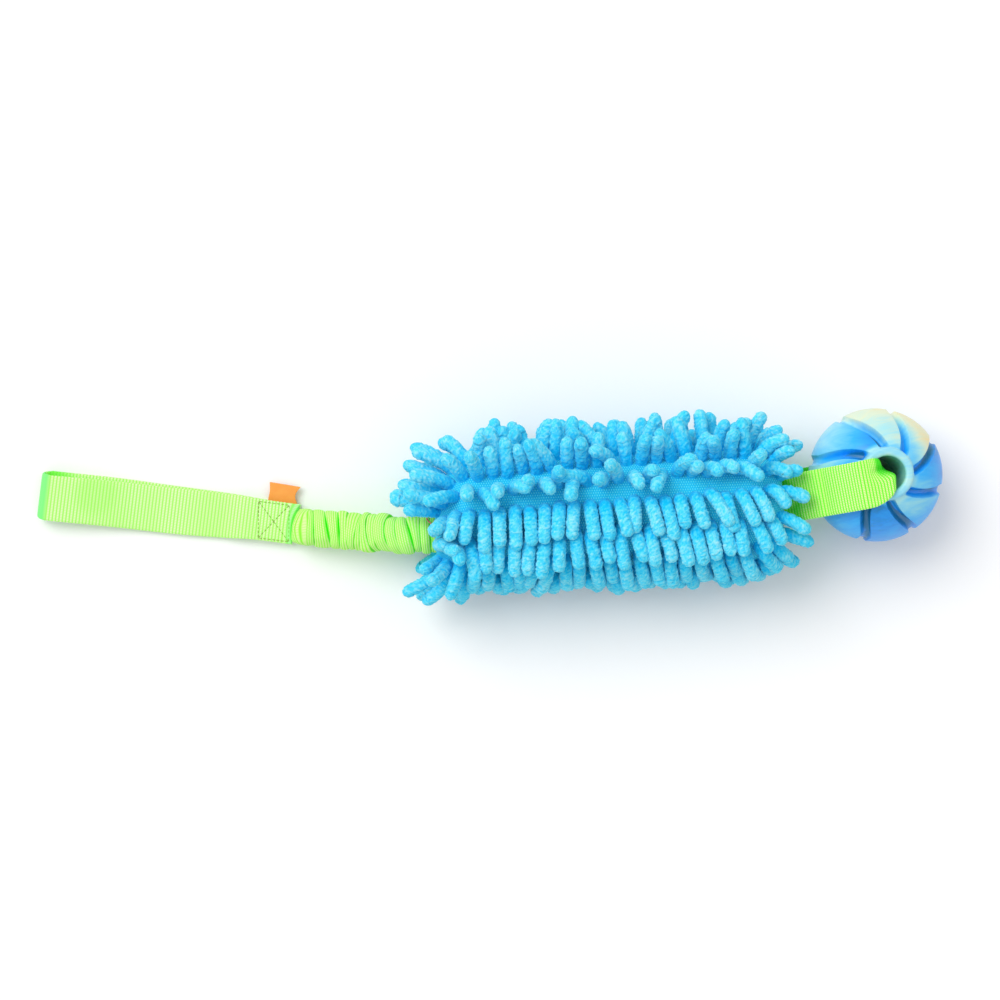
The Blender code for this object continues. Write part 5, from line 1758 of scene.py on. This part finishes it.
def loop_finish(wire):
    """Webbing with painted shade, a clear deep green, in the dimple and in patches beside the noodles.
    """
    made = webbing("#F6FFC4", "#B8FF60", "#54F420", LOOP_PITCH, loop_shade)(wire)
    rest = rest_of(wire)
    along, across, _ = rest.parts()
    # Painted shade in the dimple, and in patches where the noodles shade the strap at the mouth.
    dimple = along.step(*DIMPLE_SHADE) * (1.0 - across.step(*DIMPLE_HALF))
    patch = (1.0 - along.step(*MOUTH_PATCHES)) * rest.noise(110.0, 1.0).step(0.42, 0.62)
    deep = wire.math("MAXIMUM", dimple, patch)
    made["Base_Color"] = (deep * 0.7).mix(made["Base_Color"], colour("#12D800"))
    return made


loop_green = finish("loop_green", loop_finish, Specular_IOR_Level=0.3)
ball_strap = loop_shape.piece("ball_strap", loop_green, "green_webbing", loop_axes)
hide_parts("ball_loop_webbing")
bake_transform(ball_strap)

# %% [markdown]
# ## The rubber ball
#
# The ball is moulded in a soft marbled rubber: eight blades between grooves that curve from one
# collar to the other, round a bore. Its skin is one closed grid, up the bore, over the collar, down
# the outside and back. The columns follow the grooves and crowd together at their edges, so the
# edges come out crisp without cutting anything. Which blades are cream, and which are blue, is a
# small table, because the colours of a marbled ball are poured by hand and follow no rule.

# %% The ball's grid
BALL_RADIUS = 35.0 * MM
BORE_RADIUS = 9.2 * MM
COLLAR_RADIUS = 13.5 * MM
COLLAR_TOP = 34.6 * MM
COLLAR_ROUND = 1.6 * MM
GROOVES = 8
GROOVE_WIDTH = 5.5 * MM
GROOVE_DEPTH = 4.5 * MM
# Polar angles and turns round the ball, in degrees. A groove starts to bend some way from the rim.
GROOVE_AT_RIM = 21.5
GROOVE_CURVE = 25.0
GROOVE_FROM = 24.2
BENDS_FROM = 15.0
BENDS_OVER = 49.0
BEND_POWER = 1.5
# Columns across half a groove, in half widths, and the flat floor and the walls of the channel.
GROOVE_STEPS = np.array([0.0, 0.2, 0.4, 0.58, 0.74, 0.87, 0.95, 1.0, 1.05, 1.14])
FLOOR_SHARE = 0.3
WALL_POWER = 2.2
BLADE_COLUMNS = 14
BLADE_BULGE = 0.25 * MM
# The grooves run out at the collars and are shallower at the rim.
RUN_OUT, RUN_OUT_OVER = 1.2, 4.5
RIM_DEPTH = 0.4
RIM_FROM, RIM_OVER = 8.0, 30.0
BORE_STEPS = 18
LIP_STEPS = 9
OUTER_ROWS = 141


def groove_turn(polar):
    """How far a groove has turned round the ball at a polar angle, in degrees."""
    off_rim = polar - 90.0
    bend = np.clip((np.abs(off_rim) - BENDS_FROM) / BENDS_OVER, 0.0, 1.1) ** BEND_POWER
    return GROOVE_AT_RIM + GROOVE_CURVE * np.sign(off_rim) * bend


def ball_columns(polar):
    """The azimuth of each column on each row, and its shares of the groove's depth and the bulge."""
    cut = np.concatenate([-GROOVE_STEPS[:0:-1], GROOVE_STEPS])
    blade = np.linspace(0.0, 1.0, BLADE_COLUMNS + 2)[1:-1]
    slope = groove_turn(polar + 0.5) - groove_turn(polar - 0.5)
    flat = np.sin(np.radians(polar))
    half = np.degrees(GROOVE_WIDTH / 2.0 / (BALL_RADIUS * flat)) * np.sqrt(1.0 + (slope * flat) ** 2)
    across = half[:, None] * cut
    step = 360.0 / GROOVES
    between = across[:, -1:] + (step - 2.0 * across[:, -1:]) * blade
    one = np.concatenate([across, between], axis=1)
    turn = np.concatenate([one + step * k for k in range(GROOVES)], axis=1)
    wall = np.clip((np.abs(cut) - FLOOR_SHARE) / (1.0 - FLOOR_SHARE), 0.0, 1.0)
    depth = np.concatenate([1.0 - wall**WALL_POWER, 0.0 * blade])
    swell = np.concatenate([0.0 * cut, np.sin(blade * math.pi)])
    return turn + groove_turn(polar)[:, None], np.tile(depth, GROOVES), np.tile(swell, GROOVES)


def ball_rows():
    """Radius, height and polar angle of each row, from the bore's middle up, over, down and back."""
    bore = np.linspace(0.0, COLLAR_TOP - COLLAR_ROUND, BORE_STEPS)[:-1]
    lip = np.linspace(0.0, math.pi / 2.0, LIP_STEPS)
    rise, sink = COLLAR_ROUND * np.sin(lip), COLLAR_ROUND * (1.0 - np.cos(lip))
    flat = COLLAR_RADIUS - COLLAR_ROUND
    radius = np.concatenate([BORE_RADIUS + 0.0 * bore, BORE_RADIUS + sink, flat + rise])
    height = np.concatenate([bore, COLLAR_TOP - COLLAR_ROUND + rise, COLLAR_TOP - sink])
    spread = np.clip(np.arange(len(radius)) / len(bore), 0.0, 1.0)
    inner = 90.0 - (90.0 - GROOVE_FROM) * spread
    outer = np.linspace(GROOVE_FROM, 180.0 - GROOVE_FROM, OUTER_ROWS)
    across, up = np.sin(np.radians(outer)), np.cos(np.radians(outer))
    radii = np.concatenate([radius, BALL_RADIUS * across, radius[::-1]])
    heights = np.concatenate([height, BALL_RADIUS * up, -height[::-1]])
    return radii, heights, np.concatenate([inner, outer, 180.0 - inner[::-1]]), len(radius)


# Each blade's azimuth in the ball's axes, and its share of cream by the collar and at the rim.
BLADES = [
    (89.0, 0.66, 0.84),
    (44.0, 0.42, 0.93),
    (-1.0, 0.42, 0.14),
    (-46.0, 0.5, 0.22),
    (-91.0, 0.1, 0.2),
    (-136.0, 0.16, 0.3),
    (179.0, 0.22, 0.66),
    (134.0, 0.08, 0.52),
]
BLADE_HALF, BLADE_FADE = 20.0, 5.0
# The cream reaches its share at the rim this far from the collar, and wanders a little.
CREAM_OVER = 50.0
CREAM_WANDERS = 9.0
COLLAR_CREAM = 0.62
COLLAR_CREAM_CHANGE = 0.14
COLLAR_BLUE_AT = 60.0
COLLAR_FADE = 6.0
GROOVE_SHADE = 0.3


def cream_share(turn, polar):
    """How much cream is in the rubber, read from the blades' table and bent by a few waves."""
    turned = turn - (groove_turn(polar) - GROOVE_AT_RIM)[:, None]
    bent = polar[:, None] + CREAM_WANDERS * np.sin(np.radians(3.0 * turned))
    out = ease((np.minimum(bent, 180.0 - bent) - GROOVE_FROM) / CREAM_OVER)
    value = 0.0 * turned
    for azimuth, collar, rim in BLADES:
        apart = np.abs((turned - azimuth + 180.0) % 360.0 - 180.0)
        value += (1.0 - ease((apart - BLADE_HALF) / BLADE_FADE)) * (collar + (rim - collar) * out)
    ring = COLLAR_CREAM - COLLAR_CREAM_CHANGE * np.cos(np.radians(turned - COLLAR_BLUE_AT))
    share = ease((90.0 - GROOVE_FROM - np.abs(polar[:, None] - 90.0)) / COLLAR_FADE)
    return ring + (value - ring) * share


def ball_finish(wire):
    """Blue rubber with cream and a little yellow folded in, and finer streaks along the flow."""
    rest = rest_of(wire)
    swirl = rest.stretched(22.0, 60.0, 14.0).noise(1.0, 3.0, 0.55, 1.4)
    streak = rest.stretched(40.0, 150.0, 30.0).noise(1.0, 4.0, 0.6, 2.0)
    share = tint_of(wire) + (swirl - 0.5) * 0.42 + (streak - 0.5) * 0.3
    stops = [(0.0, "#0878A8"), (0.14, "#0496F4"), (0.3, "#1EB2FF"), (0.48, "#6CCDF8")]
    stops += [(0.64, "#A4E4EC"), (0.82, "#DCEACC"), (1.0, "#F4E09C")]
    normal = (rest.noise(2600.0, 2.0) + streak * 0.5).bump(0.03 * MM, 0.5)
    return {"Base_Color": share.ramp(stops), "Roughness": 0.36 + streak * 0.12, "Normal": normal}


def build_ball():
    radius, height, polar, inner = ball_rows()
    turn, depth, swell = ball_columns(polar)
    outside = np.zeros(len(polar))
    outside[inner:-inner] = 1.0
    off_rim = np.abs(polar - 90.0)
    fade = outside * ease((90.0 - GROOVE_FROM + RUN_OUT - off_rim) / RUN_OUT_OVER)
    fade *= RIM_DEPTH + (1.0 - RIM_DEPTH) * ease((off_rim - RIM_FROM) / RIM_OVER)
    cut = fade[:, None] * (GROOVE_DEPTH * depth - BLADE_BULGE * (swell - 1.0))
    share = 1.0 - cut / np.hypot(radius, height)[:, None]
    spin = np.radians(turn)
    points = stacked(radius[:, None] * np.cos(spin), radius[:, None] * np.sin(spin), height[:, None])
    tint = cream_share(turn, polar) - GROOVE_SHADE * fade[:, None] * depth
    # The collar and the bore take the collar's pale tint; in the bore it is painted light on shaded
    # walls.
    tint = np.where(outside[:, None] > 0.0, tint, COLLAR_CREAM)
    shape = Shape()
    shape.add(points * share[..., None], points, tint, loop=True)
    return shape.piece("rubber_ball", marbled_rubber, "blue_rubber", ball_axes)


marbled_rubber = finish("marbled_rubber", ball_finish, Coat_Weight=0.15, Coat_Roughness=0.3)
rubber_ball = build_ball()
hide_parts("ball")
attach(rubber_ball, "ball")
